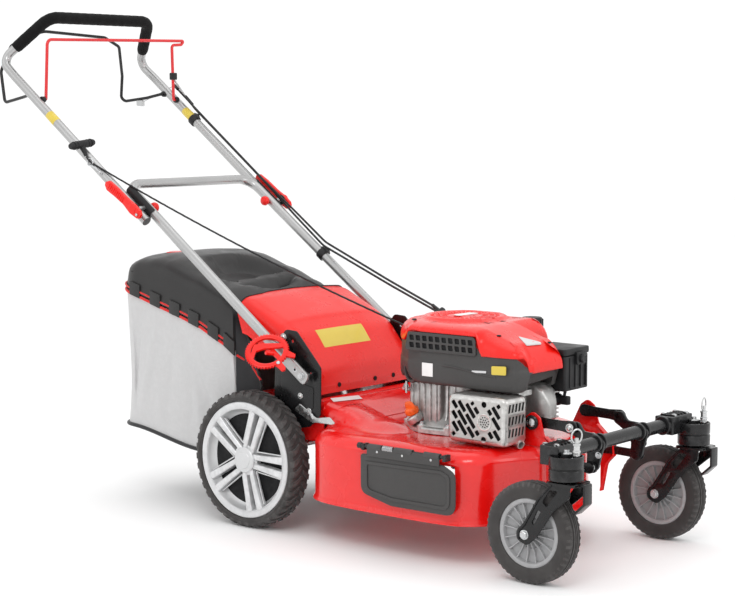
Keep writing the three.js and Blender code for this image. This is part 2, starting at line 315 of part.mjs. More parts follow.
// ---------------------------------------------------------------- bails
add('opc_bail', tube(bend([[-218.4, 1103, 960], [-213, 1103, 960, 5], [-203, 1150, 952, 14], [-196, 1232, 938, 12], [-188, 1254, 1015, 16], [-180, 1222, 1078, 20], [-140, 1150, 1112, 20], [62, 1150, 1102, 20], [112, 1152, 1080, 20], [165, 1200, 1007, 16], [192, 1236, 940, 12], [203, 1150, 950, 14], [213, 1103, 960, 5], [218.4, 1103, 960]], 45), 4, 8), STEEL_BLACK);
add('drive_bail', tube(bend([[-218.4, 1059, 945], [-212, 1059, 945, 6], [-205, 1057, 1088, 14], [250, 1057, 1096, 8], [240, 1057, 1086, 5], [207, 1057, 1084, 8], [212, 1059, 945, 6], [218.4, 1059, 945]], 45), 4, 8), RED_PLASTIC);

// ---------------------------------------------------------------- recoil starter: grip, guide and rope
const GUIDE = [-246, 868, 800], ROPE_END = [-20, 96, 447];
add('rope_guide', cut(union(discX(10, -252, -241.8, 868, 800, 12), rod([-247, 863, 794], [-246.5, 838, 772], 4, 8)), discX(5, -256, -236, 868, 800, 10)), ZINC);
add('starter_grip', union(rod([-285.1, 892, 836], [-208, 896, 845], 10, 10), rod([-249, 893, 838], [-248, 878, 812], 6, 8)), PLASTIC_BLACK);
{
  const a = [-246, 868, 800], b = ROPE_END;
  add('starter_rope', tube([0, 0.5, 1].map((t) => a.map((v, i) => v + (b[i] - v) * (t * 0.97 + 0.022))), 2.4, 8), PLASTIC_BLACK);
}

// ---------------------------------------------------------------- control cables, clipped along the left tube
const n2 = (p, d, n) => { const c = along(FOLD, d, n); return [p, ...c]; };
add('drive_cable', tube(bend([[238, 1040, 952], [240, 1010, 922, 14], [240, 960, 884.5, 20], [240, 760, 735, 30], [212, 640, 662, 30], [209, 545, 592, 20], [160, 290, 512, 40], [110, 122, 470]], 30), 2.6, 8), PLASTIC_BLACK);
add('opc_cable', tube(bend([[240, 1084, 982], [230, 1050, 963, 14], [229, 960, 895, 20], [229, 760, 745, 30], [218, 640, 668, 30], [217, 545, 600, 20], [172, 310, 524, 40], [118, 136, 480]], 30), 2.6, 8), PLASTIC_BLACK);

export default mower;
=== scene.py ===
"""Looks of the push lawn mower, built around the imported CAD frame.

Lengths in the helpers are millimetres in the frame of the CAD source, whose
origin lies OY behind the row's origin along Y; P() turns them into metres.
"""
import json
import math
import random
import bpy
import bmesh
import numpy as np
from mathutils import Matrix, Vector


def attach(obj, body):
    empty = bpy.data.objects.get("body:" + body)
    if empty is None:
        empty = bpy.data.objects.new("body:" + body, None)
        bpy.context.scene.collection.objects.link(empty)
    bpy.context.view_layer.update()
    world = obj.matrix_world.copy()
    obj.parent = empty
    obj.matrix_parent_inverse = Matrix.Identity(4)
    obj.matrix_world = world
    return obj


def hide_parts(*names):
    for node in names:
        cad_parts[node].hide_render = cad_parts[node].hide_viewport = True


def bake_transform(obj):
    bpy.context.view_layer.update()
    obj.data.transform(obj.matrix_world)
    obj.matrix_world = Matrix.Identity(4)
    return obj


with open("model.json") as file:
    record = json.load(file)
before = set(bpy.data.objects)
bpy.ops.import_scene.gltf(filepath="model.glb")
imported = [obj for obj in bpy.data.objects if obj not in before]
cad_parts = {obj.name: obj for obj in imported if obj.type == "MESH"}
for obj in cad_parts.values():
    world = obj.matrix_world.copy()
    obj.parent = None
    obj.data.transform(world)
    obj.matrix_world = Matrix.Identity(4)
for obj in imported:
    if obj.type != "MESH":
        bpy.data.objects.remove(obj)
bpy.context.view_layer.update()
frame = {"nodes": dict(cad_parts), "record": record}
OY = 368.4
random.seed(7)


def P(x, y, z):
    return Vector((x / 1000, (y - OY) / 1000, z / 1000))


# --------------------------------------------------------------- materials
class Mat:
    """A Principled material with procedural colour variation, grain, and lighter edges that are partly wear and partly
    a painted highlight.
    """

    def __init__(self, name, color, rough=0.5, metal=0.0, coat=0.0, coat_rough=0.1, spec=0.5, sheen=0.0, ior=1.5, aniso=0.0):
        m = bpy.data.materials.new(name)
        m.use_nodes = True
        self.m, self.t = m, m.node_tree
        self.n, self.l = self.t.nodes, self.t.links
        self.b = self.n["Principled BSDF"]
        self.b.inputs["Base Color"].default_value = (*color, 1)
        self.b.inputs["Roughness"].default_value = rough
        self.b.inputs["Metallic"].default_value = metal
        self.b.inputs["Coat Weight"].default_value = coat
        self.b.inputs["Coat Roughness"].default_value = coat_rough
        self.b.inputs["Specular IOR Level"].default_value = spec
        self.b.inputs["Sheen Weight"].default_value = sheen
        self.b.inputs["IOR"].default_value = ior
        self.b.inputs["Anisotropic"].default_value = aniso
        self.color, self.rough = color, rough
        self.co = self.n.new("ShaderNodeTexCoord").outputs["Object"]
        self.normal = None
        m.diffuse_color = (*color, 1)

    def scaled(self, sx, sy, sz, rot=(0, 0, 0)):
        mp = self.n.new("ShaderNodeMapping")
        mp.inputs["Scale"].default_value = (sx, sy, sz)
        mp.inputs["Rotation"].default_value = rot
        self.l.new(self.co, mp.inputs["Vector"])
        return mp.outputs["Vector"]

    def noise(self, scale, detail=3.0, rough=0.5, vec=None, distort=0.0):
        t = self.n.new("ShaderNodeTexNoise")
        t.inputs["Scale"].default_value = scale
        t.inputs["Detail"].default_value = detail
        t.inputs["Roughness"].default_value = rough
        t.inputs["Distortion"].default_value = distort
        self.l.new(vec or self.co, t.inputs["Vector"])
        return t.outputs["Fac"]

    def voronoi(self, scale, out="Distance", vec=None, feature="F1"):
        t = self.n.new("ShaderNodeTexVoronoi")
        t.feature = feature
        t.inputs["Scale"].default_value = scale
        self.l.new(vec or self.co, t.inputs["Vector"])
        return t.outputs[out]

    def wave(self, scale, direction="X", vec=None, distort=0.0, kind="BANDS", profile="SIN"):
        t = self.n.new("ShaderNodeTexWave")
        t.wave_type = kind
        if kind == "BANDS":
            t.bands_direction = direction
        t.wave_profile = profile
        t.inputs["Scale"].default_value = scale
        t.inputs["Distortion"].default_value = distort
        self.l.new(vec or self.co, t.inputs["Vector"])
        return t.outputs["Fac"]

    def ramp(self, fac, a, b, lo=0.0, hi=1.0):
        r = self.n.new("ShaderNodeMapRange")
        r.inputs["From Min"].default_value = lo
        r.inputs["From Max"].default_value = hi
        r.inputs["To Min"].default_value = a
        r.inputs["To Max"].default_value = b
        self.l.new(fac, r.inputs["Value"])
        return r.outputs["Result"]

    def math(self, op, a, b):
        r = self.n.new("ShaderNodeMath")
        r.operation = op
        for i, v in enumerate((a, b)):
            if hasattr(v, "links"):
                self.l.new(v, r.inputs[i])
            else:
                r.inputs[i].default_value = v
        return r.outputs[0]

    def base(self):
        """What feeds Base Color now: a socket, or the plain colour."""
        s = self.b.inputs["Base Color"]
        return s.links[0].from_socket if s.is_linked else None

    def tint(self, fac, color, amount=1.0, lo=0.4, hi=0.6):
        """Mixes a second colour in where fac is above lo..hi."""
        mix = self.n.new("ShaderNodeMix")
        mix.data_type = "RGBA"
        prev = self.base()
        if prev:
            self.l.new(prev, mix.inputs[6])
        else:
            mix.inputs[6].default_value = (*self.color, 1)
        mix.inputs[7].default_value = (*color, 1)
        self.l.new(self.ramp(fac, 0, amount, lo, hi), mix.inputs[0])
        self.l.new(mix.outputs[2], self.b.inputs["Base Color"])
        return self

    def roughness(self, fac, a, b, lo=0.3, hi=0.7):
        self.l.new(self.ramp(fac, a, b, lo, hi), self.b.inputs["Roughness"])
        return self

    def bump(self, fac, strength=0.2, distance=0.0005):
        n = self.n.new("ShaderNodeBump")
        n.inputs["Strength"].default_value = strength
        n.inputs["Distance"].default_value = distance
        self.l.new(fac, n.inputs["Height"])
        if self.normal is not None:
            self.l.new(self.normal, n.inputs["Normal"])
        self.normal = n.outputs["Normal"]
        self.l.new(self.normal, self.b.inputs["Normal"])
        return self

    def edge_wear_and_highlight(self, color, amount=0.5, lo=0.52, hi=0.58):
        """Lighter edges from the mesh's own curvature, broken up by noise: partly rubbed-edge wear, partly a painted
        edge highlight.
        """
        g = self.n.new("ShaderNodeNewGeometry").outputs["Pointiness"]
        f = self.math("MULTIPLY", self.ramp(g, 0, 1, lo, hi), self.ramp(self.noise(90, 4), 0, 1, 0.35, 0.65))
        return self.tint(f, color, amount, 0.0, 1.0)


def enamel(name, color, dark, rough=0.22):
    m = Mat(name, color, rough=rough, coat=0.6, coat_rough=0.08, spec=0.35)
    m.tint(m.noise(5, 3), dark, 0.22, 0.3, 0.8)
    m.tint(m.noise(45, 2), tuple(min(1, c * 1.12 + 0.004) for c in color), 0.3, 0.35, 0.75)
    m.roughness(m.noise(16, 4), rough * 0.75, rough * 1.5)
    m.bump(m.noise(260, 2), 0.05, 0.0004)
    m.edge_wear_and_highlight(tuple(min(1, c * 1.4 + 0.03) for c in color), 0.35)
    return m.m


def moulded(name, color, light, rough=0.5, grain=900, strength=0.22, coat=0.0):
    m = Mat(name, color, rough=rough, coat=coat, coat_rough=0.25, spec=0.32)
    m.tint(m.noise(6, 3), light, 0.22, 0.35, 0.8)
    m.tint(m.noise(190, 2), tuple(c * 0.75 for c in color), 0.22, 0.45, 0.7)
    m.roughness(m.noise(30, 4), rough * 0.82, min(1, rough * 1.2))
    m.bump(m.voronoi(grain), strength, 0.00025)
    m.edge_wear_and_highlight(tuple(min(1, c * 1.5 + 0.012) for c in color), 0.4)
    return m.m


RED = enamel("red_enamel", (0.78, 0.004, 0.003), (0.64, 0.002, 0.002))
REDP = moulded("red_moulded", (0.80, 0.008, 0.004), (0.86, 0.016, 0.009), rough=0.30, grain=700, strength=0.06, coat=0.22)
REDW = enamel("red_dipped_wire", (0.66, 0.008, 0.012), (0.5, 0.004, 0.006), rough=0.3)
BLK = moulded("black_moulded", (0.010, 0.010, 0.011), (0.018, 0.018, 0.019), rough=0.46)
GREY = moulded("grey_moulded", (0.055, 0.053, 0.052), (0.072, 0.070, 0.069), rough=0.46)
COVER = moulded("bag_cover_moulded", (0.028, 0.027, 0.027), (0.040, 0.039, 0.039), rough=0.38, grain=600)


def powder():
    m = Mat("black_powder_coat", (0.0045, 0.0045, 0.005), rough=0.30, coat=0.2, coat_rough=0.12, spec=0.3)
    m.tint(m.noise(22, 3), (0.009, 0.009, 0.010), 0.35, 0.35, 0.8)
    m.roughness(m.noise(70, 3), 0.22, 0.34)
    m.bump(m.noise(620, 2), 0.10, 0.0003)
    m.edge_wear_and_highlight((0.05, 0.05, 0.052), 0.4)
    return m.m


def lacquer():
    m = Mat("silver_lacquer", (0.42, 0.42, 0.418), rough=0.32, metal=0.8, coat=0.3, coat_rough=0.12)
    m.tint(m.voronoi(2600, "Color"), (0.58, 0.58, 0.58), 0.6, 0.45, 0.9)
    m.tint(m.noise(7, 4), (0.30, 0.30, 0.30), 0.3, 0.4, 0.8)
    m.roughness(m.noise(24, 4), 0.24, 0.40)
    m.bump(m.voronoi(1500), 0.05, 0.0002)
    return m.m


def cast():
    m = Mat("cast_aluminium", (0.46, 0.455, 0.445), rough=0.42, metal=0.9)
    m.tint(m.noise(24, 5), (0.34, 0.335, 0.33), 0.4, 0.35, 0.75)
    m.tint(m.noise(230, 3), (0.58, 0.575, 0.56), 0.4, 0.5, 0.75)
    m.roughness(m.noise(60, 4), 0.30, 0.58)
    m.bump(m.noise(420, 4), 0.42, 0.0005)
    m.edge_wear_and_highlight((0.86, 0.86, 0.85), 0.7)
    return m.m


def zinc():
    m = Mat("bright_zinc", (0.56, 0.57, 0.58), rough=0.25, metal=1.0, aniso=0.3)
    m.tint(m.noise(60, 4), (0.52, 0.52, 0.50), 0.5, 0.4, 0.8)
    m.tint(m.noise(14, 3), (0.74, 0.72, 0.66), 0.3, 0.5, 0.8)
    m.roughness(m.noise(110, 3), 0.16, 0.38)
    m.bump(m.noise(700, 2, vec=m.scaled(1, 6, 6)), 0.12, 0.0003)
    return m.m


def steel():
    m = Mat("stamped_steel_guard", (0.52, 0.51, 0.495), rough=0.33, metal=0.92)
    m.tint(m.noise(30, 5), (0.42, 0.41, 0.39), 0.3, 0.4, 0.8)
    m.roughness(m.noise(70, 4), 0.24, 0.46)
    m.bump(m.noise(500, 3), 0.2, 0.0003)
    m.edge_wear_and_highlight((0.9, 0.9, 0.88), 0.6)
    return m.m


def rubber(name, color, rough=0.82):
    m = Mat(name, color, rough=rough, spec=0.35, sheen=0.12)
    m.tint(m.noise(18, 5), tuple(c * 1.8 + 0.01 for c in color), 0.55, 0.4, 0.8)
    m.tint(m.noise(3, 2), tuple(c * 0.7 for c in color), 0.5, 0.4, 0.7)
    m.roughness(m.noise(40, 4), rough * 0.78, min(1.0, rough * 1.12))
    m.bump(m.noise(600, 4), 0.3, 0.0004)
    m.edge_wear_and_highlight(tuple(c * 2.4 + 0.03 for c in color), 0.5)
    return m.m


def silver_plastic():
    m = Mat("rim_silver", (0.60, 0.605, 0.61), rough=0.36, metal=0.45, coat=0.3, coat_rough=0.2)
    m.tint(m.voronoi(2200, "Color"), (0.72, 0.72, 0.725), 0.4, 0.45, 0.9)
    m.tint(m.noise(9, 4), (0.50, 0.505, 0.51), 0.5, 0.35, 0.8)
    m.roughness(m.noise(30, 4), 0.30, 0.46)
    m.bump(m.noise(700, 2), 0.08, 0.0003)
    m.edge_wear_and_highlight((0.85, 0.85, 0.86), 0.5)
    return m.m


def weave(name, color, shade, scale=620.0):
    """Plain-woven polyester: two crossed thread waves, with slub and creasing."""
    m = Mat(name, color, rough=0.85, spec=0.2, sheen=0.35)
    a = m.wave(scale, "Y", distort=0.6)
    b = m.wave(scale, "Z", distort=0.6)
    c = m.wave(scale, "X", distort=0.6)
    w = m.math("MAXIMUM", m.math("MAXIMUM", a, b), c)
    m.tint(w, shade, 0.30, 0.1, 0.9)
    m.tint(m.noise(6, 4), tuple(c * 0.90 for c in color), 0.45, 0.4, 0.7)
    m.tint(m.noise(90, 3), tuple(min(1, c * 1.06) for c in color), 0.3, 0.4, 0.7)
    m.roughness(m.noise(50, 3), 0.74, 0.95)
    m.bump(w, 0.35, 0.0003)
    m.bump(m.noise(14, 3), 0.15, 0.004)
    return m.m


def foam():
    m = Mat("foam_grip", (0.007, 0.007, 0.007), rough=0.92, spec=0.12, sheen=0.05)
    m.tint(m.voronoi(900, "Color"), (0.015, 0.015, 0.016), 0.6, 0.4, 0.9)
    m.roughness(m.noise(60, 4), 0.8, 1.0)
    m.bump(m.voronoi(850), 0.55, 0.0006)
    return m.m


def label(name, color, ink):
    """A plain printed patch: flat stock with faint stains, no lettering."""
    m = Mat(name, color, rough=0.35, coat=0.4, coat_rough=0.1)
    m.tint(m.noise(60, 4), ink, 0.12, 0.5, 0.8)
    m.tint(m.noise(12, 3), tuple(min(1, c * 1.1) for c in color), 0.3, 0.4, 0.7)
    m.bump(m.noise(400, 2), 0.06, 0.0002)
    return m.m


POWDER, LACQ, CAST, ZINC, STEEL = powder(), lacquer(), cast(), zinc(), steel()
TYRE = rubber("tyre_rubber", (0.036, 0.033, 0.032))
RIM = silver_plastic()
RIMG = moulded("caster_rim_grey", (0.33, 0.33, 0.335), (0.40, 0.40, 0.405), rough=0.5, grain=700, strength=0.15)
FABRIC = weave("bag_fabric", (0.57, 0.568, 0.57), (0.45, 0.448, 0.45))
PIPING = weave("bag_piping", (0.70, 0.020, 0.018), (0.50, 0.012, 0.010), 900)
WEBBING = weave("bag_base_binding", (0.022, 0.022, 0.024), (0.05, 0.05, 0.052), 900)
FOAM = foam()
ORANGE = moulded("orange_moulded", (0.86, 0.12, 0.012), (0.92, 0.19, 0.03), rough=0.36, grain=600, strength=0.08, coat=0.3)
CABLE = moulded("cable_sheath", (0.012, 0.012, 0.013), (0.03, 0.03, 0.032), rough=0.42, grain=1200, strength=0.12)
# one dark colour for dark parts such as plugs and screws, and for painted shade on the discs and plates set in holes,
# vents and the rear rims' dish
DARK_AND_SHADE = moulded("dark_parts_and_painted_shade", (0.006, 0.006, 0.007), (0.014, 0.014, 0.015), rough=0.8)
BELT = rubber("belt_rubber", (0.018, 0.018, 0.019))
YELLOW = label("yellow_patch", (0.66, 0.50, 0.05), (0.45, 0.32, 0.03))
WHITE = label("white_patch", (0.80, 0.80, 0.79), (0.35, 0.35, 0.36))
GREYP = label("silver_patch", (0.60, 0.60, 0.61), (0.25, 0.25, 0.26))


# --------------------------------------------------------------- mesh tools
def to_obj(name, bm_or_mesh, mat, body, node=(), slot=None, smooth=40, bevel=0.0, segs=2, subdiv=0, solid=None):
    """Turns mesh data (already in metres) into a named piece that rides on a body; a body given as a tuple only gets
    its transform baked, and the piece rides on none.
    """
    if isinstance(bm_or_mesh, bmesh.types.BMesh):
        me = bpy.data.meshes.new(name)
        bm_or_mesh.to_mesh(me)
        bm_or_mesh.free()
    else:
        me = bm_or_mesh
        me.name = name
    o = bpy.data.objects.new(name, me)
    bpy.context.scene.collection.objects.link(o)
    mods = False
    if solid:
        s = o.modifiers.new("shell", "SOLIDIFY")
        s.thickness, s.offset, s.use_even_offset = solid / 1000, -1, True
        mods = True
    if bevel:
        b = o.modifiers.new("edge", "BEVEL")
        b.width, b.segments, b.limit_method, b.angle_limit = bevel / 1000, segs, "ANGLE", math.radians(38)
        b.harden_normals = False
        b.use_clamp_overlap = True
        mods = True
    if subdiv:
        b = o.modifiers.new("sub", "SUBSURF")
        b.levels = b.render_levels = subdiv
        mods = True
    if mods:
        bpy.context.view_layer.update()
        dg = bpy.context.evaluated_depsgraph_get()
        new = bpy.data.meshes.new_from_object(o.evaluated_get(dg))
        o.modifiers.clear()
        old = o.data
        o.data = new
        bpy.data.meshes.remove(old)
        new.name = name
    me = o.data
    me.materials.clear()
    me.materials.append(mat)
    me.polygons.foreach_set("use_smooth", [True] * len(me.polygons))
    me.set_sharp_from_angle(angle=math.radians(smooth))
    me.update()
    if body:
        if isinstance(body, tuple):
            a, b, s, e = body
            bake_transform(o)
        else:
            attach(o, body)
    if node:
        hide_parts(*([node] if isinstance(node, str) else node))
    return o


def mesh_of(verts, faces):
    me = bpy.data.meshes.new("m")
    me.from_pydata([tuple(v) for v in verts], [], faces)
    bm = bmesh.new()
    bm.from_mesh(me)
    bpy.data.meshes.remove(me)
    bmesh.ops.remove_doubles(bm, verts=bm.verts, dist=1e-6)
    bmesh.ops.recalc_face_normals(bm, faces=bm.faces)
    return bm


def join(*bms):
    out = bmesh.new()
    for b in bms:
        me = bpy.data.meshes.new("j")
        b.to_mesh(me)
        b.free()
        out.from_mesh(me)
        bpy.data.meshes.remove(me)
    return out


def rounded(points, per=6):
    """Polygon [a, b, radius] with rounded corners, as plain (a, b) points."""
    n, out = len(points), []
    for i in range(n):
        x, y, r = (tuple(points[i]) + (0,))[:3]
        if not r:
            out.append((x, y))
            continue
        p, q = points[i - 1], points[(i + 1) % n]
        a, b = Vector((p[0] - x, p[1] - y)), Vector((q[0] - x, q[1] - y))
        la, lb = a.length, b.length
        a.normalize(), b.normalize()
        half = math.acos(max(-1, min(1, a.dot(b)))) / 2
        d = min(r / max(math.tan(half), 1e-6), la * 0.49, lb * 0.49)
        for k in range(per + 1):
            t = k / per
            u, v, w = (1 - t) ** 2, 2 * t * (1 - t), t * t
            out.append((u * (x + a.x * d) + v * x + w * (x + b.x * d), u * (y + a.y * d) + v * y + w * (y + b.y * d)))
    return out


def prism(points, lo, hi, axis, holes=(), per=6, edge=0.0):
    """A plate: outline in the two other axes (in cyclic reading: X->(y,z), Y->(x,z), Z->(x,y)), pushed along axis.
    holes are (a, b, r) circles or lists of points; edge rounds its rims."""
    cu = bpy.data.curves.new("c", "CURVE")
    cu.dimensions = "2D"
    cu.fill_mode = "BOTH"

    def spline(pts):
        s = cu.splines.new("POLY")
        s.points.add(len(pts) - 1)
        for i, (a, b) in enumerate(pts):
            s.points[i].co = (a / 1000, b / 1000, 0, 1)
        s.use_cyclic_u = True

    spline(rounded(points, per))
    for h in holes:
        if len(h) == 3 and not hasattr(h[0], "__len__"):
            n = max(12, min(32, int(h[2] * 2)))
            spline([(h[0] + h[2] * math.cos(2 * math.pi * i / n), h[1] + h[2] * math.sin(2 * math.pi * i / n)) for i in range(n)])
        else:
            spline(rounded(h, 4))
    cu.extrude = (hi - lo) / 2000 - edge / 1000
    cu.bevel_depth = edge / 1000
    cu.bevel_resolution = 2
    cu.offset = -edge / 1000
    o = bpy.data.objects.new("c", cu)
    bpy.context.scene.collection.objects.link(o)
    bpy.context.view_layer.update()
    me = bpy.data.meshes.new_from_object(o.evaluated_get(bpy.context.evaluated_depsgraph_get()))
    bpy.data.objects.remove(o)
    bpy.data.curves.remove(cu)
    bm = bmesh.new()
    bm.from_mesh(me)
    bpy.data.meshes.remove(me)
    bmesh.ops.remove_doubles(bm, verts=bm.verts, dist=2e-6)
    mid = (lo + hi) / 2000
    for v in bm.verts:
        a, b, c = v.co
        if axis == "x":
            v.co = (c + mid, a - OY / 1000, b)
        elif axis == "y":
            v.co = (a, -c + mid - OY / 1000, b)
        else:
            v.co = (a, b - OY / 1000, c + mid)
    bmesh.ops.recalc_face_normals(bm, faces=bm.faces)
    return bm


def lathe(profile, n, axis, at):
    """Turned piece: profile [radius, height] closed back to its start unless it begins and ends on the axis."""
    rings, closed = [], not (profile[0][0] < 1e-6 and profile[-1][0] < 1e-6)
    verts, faces, idx = [], [], []
    for r, h in profile:
        if r < 1e-6:
            idx.append([len(verts)])
            verts.append((0, 0, h))
        else:
            idx.append(list(range(len(verts), len(verts) + n)))
            verts += [(r * math.cos(2 * math.pi * i / n), r * math.sin(2 * math.pi * i / n), h) for i in range(n)]
    m = len(profile)
    for k in range(m if closed else m - 1):
        a, b = idx[k], idx[(k + 1) % m]
        for i in range(n):
            j = (i + 1) % n
            if len(a) == 1 and len(b) == 1:
                continue
            if len(a) == 1:
                faces.append((a[0], b[i], b[j]))
            elif len(b) == 1:
                faces.append((a[i], a[j], b[0]))
            else:
                faces.append((a[i], a[j], b[j], b[i]))
    R = {"x": lambda v: (v[2], v[0], v[1]), "y": lambda v: (v[1], v[2], v[0]), "z": lambda v: v}[axis]
    out = []
    for v in verts:
        x, y, z = R(v)
        out.append(P(x + at[0], y + at[1], z + at[2]))
    return mesh_of(out, faces)


def frame_to(a, b):
    """Matrix taking local +Z onto a->b with its origin at a (metres)."""
    d = (b - a).normalized()
    q = Vector((0, 0, 1)).rotation_difference(d)
    return Matrix.Translation(a) @ q.to_matrix().to_4x4()


def turned(profile, n, a, b):
    """Turned piece whose heights (mm) run from a towards b."""
    bm = lathe(profile, n, "z", (0, OY, 0))
    bm.transform(frame_to(P(*a), P(*b)))
    return bm


def rod(a, b, r, n=16, edge=0.6):
    h = (Vector(b) - Vector(a)).length
    e = min(edge, r * 0.4, h * 0.3)
    return turned([(0, 0), (r - e, 0), (r, e), (r, h - e), (r - e, h), (0, h)], n, a, b)


def hexbolt(a, b, across, height, washer=0.0, dome=False, n=6):
    """Bolt head standing on a, pointing to b."""
    r = across / 2 / math.cos(math.pi / 6)
    bms = []
    if washer:
        bms.append(turned([(0, 0), (washer, 0), (washer, 1.0), (washer - 0.5, 1.6), (0, 1.6)], 28, a, b))
    if dome:
        bms.append(turned([(0, 0), (r, 0), (r, height * 0.2), (r * 0.9, height * 0.55), (r * 0.6, height * 0.88), (0.35 * r, height), (0, height)], 24, a, b))
    else:
        bms.append(turned([(0, 0), (r, 0), (r, height - r * 0.12), (r * 0.86, height), (0, height)], n, a, b))
        bms.append(turned([(0, height - 0.5), (r * 0.55, height - 0.5), (r * 0.5, height + 0.5), (0, height + 0.5)], 18, a, b))
    return join(*bms)


def bend(points, step=7):
    out = []
    for i, p in enumerate(points):
        x, y, z, r = (tuple(p) + (0,))[:4]
        if not r or i in (0, len(points) - 1):
            out.append(Vector((x, y, z)))
            continue
        c0 = Vector((x, y, z))
        a, b = Vector(points[i - 1][:3]) - c0, Vector(points[i + 1][:3]) - c0
        la, lb = a.length, b.length
        a.normalize(), b.normalize()
        ang = math.acos(max(-1, min(1, a.dot(b))))
        turn = math.pi - ang
        if turn < 0.01:
            out.append(c0)
            continue
        d = min(r / math.tan(ang / 2), la * 0.48, lb * 0.48)
        rr = d * math.tan(ang / 2)
        c = c0 + (a + b).normalized() * (rr / math.sin(ang / 2))
        s, e = c0 + a * d - c, c0 + b * d - c
        n = max(3, round(math.degrees(turn) / step))
        for k in range(n + 1):
            t = k / n
            out.append(c + s * (math.sin((1 - t) * turn) / math.sin(turn)) + e * (math.sin(t * turn) / math.sin(turn)))
    return out


def densify(pts, step):
    out = [pts[0]]
    for a, b in zip(pts, pts[1:]):
        n = max(1, int((b - a).length / step))
        out += [a.lerp(b, k / n) for k in range(1, n + 1)]
    return out


def sweep(pts, section, cap=True, closed=False):
    """Sweeps a section along pts. section(i, t) gives [(u, v)...] in mm, u along the run's side axis, v its upper axis."""
    pts = [Vector(p) for p in pts]
    n = len(pts)
    tans = []
    for i in range(n):
        if closed:
            a, b = pts[i - 1], pts[(i + 1) % n]
        else:
            a, b = pts[max(i - 1, 0)], pts[min(i + 1, n - 1)]
        tans.append((b - a).normalized())
    up = Vector((0, 0, 1)) if abs(tans[0].z) < 0.9 else Vector((1, 0, 0))
    u = tans[0].cross(up).normalized()
    frames = []
    for i in range(n):
        if i:
            q = tans[i - 1].rotation_difference(tans[i])
            u = q @ u
        u = (u - tans[i] * u.dot(tans[i])).normalized()
        frames.append((u.copy(), u.cross(tans[i]).normalized()))
    verts, rows = [], []
    for i in range(n):
        sec = section(i, i / (n - 1))
        uu, vv = frames[i]
        rows.append(range(len(verts), len(verts) + len(sec)))
        for a, b in sec:
            q = pts[i] + uu * a + vv * b
            verts.append(P(*q))
    faces, m = [], len(rows[0])
    for i in range(n if closed else n - 1):
        A, B = rows[i], rows[(i + 1) % n]
        for k in range(m):
            j = (k + 1) % m
            faces.append((A[k], A[j], B[j], B[k]))
    if cap and not closed:
        faces.append(tuple(rows[0]))
        faces.append(tuple(reversed(rows[-1])))
    return mesh_of(verts, faces)


def circle(r, n=20, squash=1.0):
    return [(r * math.cos(2 * math.pi * i / n), r * squash * math.sin(2 * math.pi * i / n)) for i in range(n)]


def tube(pts, r, n=20, cap=True, closed=False):
    sec = circle(r, n)
    return sweep(pts, lambda i, t: sec, cap, closed)


def box(x0, x1, y0, y1, z0, z1):
    v = [P(x, y, z) for x in (x0, x1) for y in (y0, y1) for z in (z0, z1)]
    f = [(0, 1, 3, 2), (4, 6, 7, 5), (0, 4, 5, 1), (2, 3, 7, 6), (0, 2, 6, 4), (1, 5, 7, 3)]
    return mesh_of(v, f)


def mirrored(bm):
    b = bm.copy()
    b.transform(Matrix.Scale(-1, 4, (1, 0, 0)))
    bmesh.ops.reverse_faces(b, faces=b.faces)
    return b


def both(name, bm, mat, body, node=None, slot=None, **k):
    """The right-hand piece and its mirror image; body and node may hold {s}."""
    m = mirrored(bm)
    f = lambda t, s: t.format(s=s) if isinstance(t, str) else t
    r = to_obj(name + "_right", bm, mat, f(body, "right"), f(node, "right") if node else (), slot, **k)
    l = to_obj(name + "_left", m, mat, f(body, "left"), f(node, "left") if node else (), slot, **k)
    return r, l


def loft(rings, cap0=True, cap1=True, closed=True):
    """Rings of equal count of mm points joined in order."""
    verts = [P(*p) for r in rings for p in r]
    m = len(rings[0])
    faces = []
    for i in range(len(rings) - 1):
        for k in range(m if closed else m - 1):
            j = (k + 1) % m
            faces.append((i * m + k, i * m + j, (i + 1) * m + j, (i + 1) * m + k))
    if cap0:
        faces.append(tuple(range(m)))
    if cap1:
        faces.append(tuple(reversed(range((len(rings) - 1) * m, len(rings) * m))))
    return mesh_of(verts, faces)


# --------------------------------------------------------------- dimensions
ENG_Y = -43
U1, U2, L1, L2 = (-293, 289), (-380, 286), (-339, 212), (-426, 209)
AXLE, REAR_PIVOT = (-435, 260), (325, 177)
FOLD, CAM, FLAPP = (240.7, 347.6), (716.5, 696.2), (240, 303)
_l = math.hypot(CAM[0] - FOLD[0], CAM[1] - FOLD[1])
S = ((CAM[0] - FOLD[0]) / _l, (CAM[1] - FOLD[1]) / _l)


def along(p, d, n=0.0):
    return (p[0] + S[0] * d - S[1] * n, p[1] + S[1] * d + S[0] * n)

# --------------------------------------------------------------- deck
OUT = [(0, -326, 0, 1), (-106, -325, .2, 1), (-125, -314, .6, .8), (-150, -298, .6, .8), (-190, -280, .6, .8), (-215, -268, .7, .7), (-243, -245, .8, .6),
       (-260, -215, 1, .4), (-267, -170, 1, 0), (-269, -60, 1, 0), (-267, 60, 1, 0), (-258, 140, 1, -.3), (-238, 188, .8, -.6), (-205, 212, .6, -1), (0, 222, 0, -1),
       (205, 212, -.6, -1), (238, 188, -.8, -.6), (258, 140, -1, -.3), (267, 60, -1, 0), (268, -40, -1, 0), (261, -120, -1, 0), (240, -182, -.9, .4),
       (200, -232, -.8, .6), (150, -270, -.6, .8), (100, -303, -.4, .9), (58, -320, -.2, 1)]


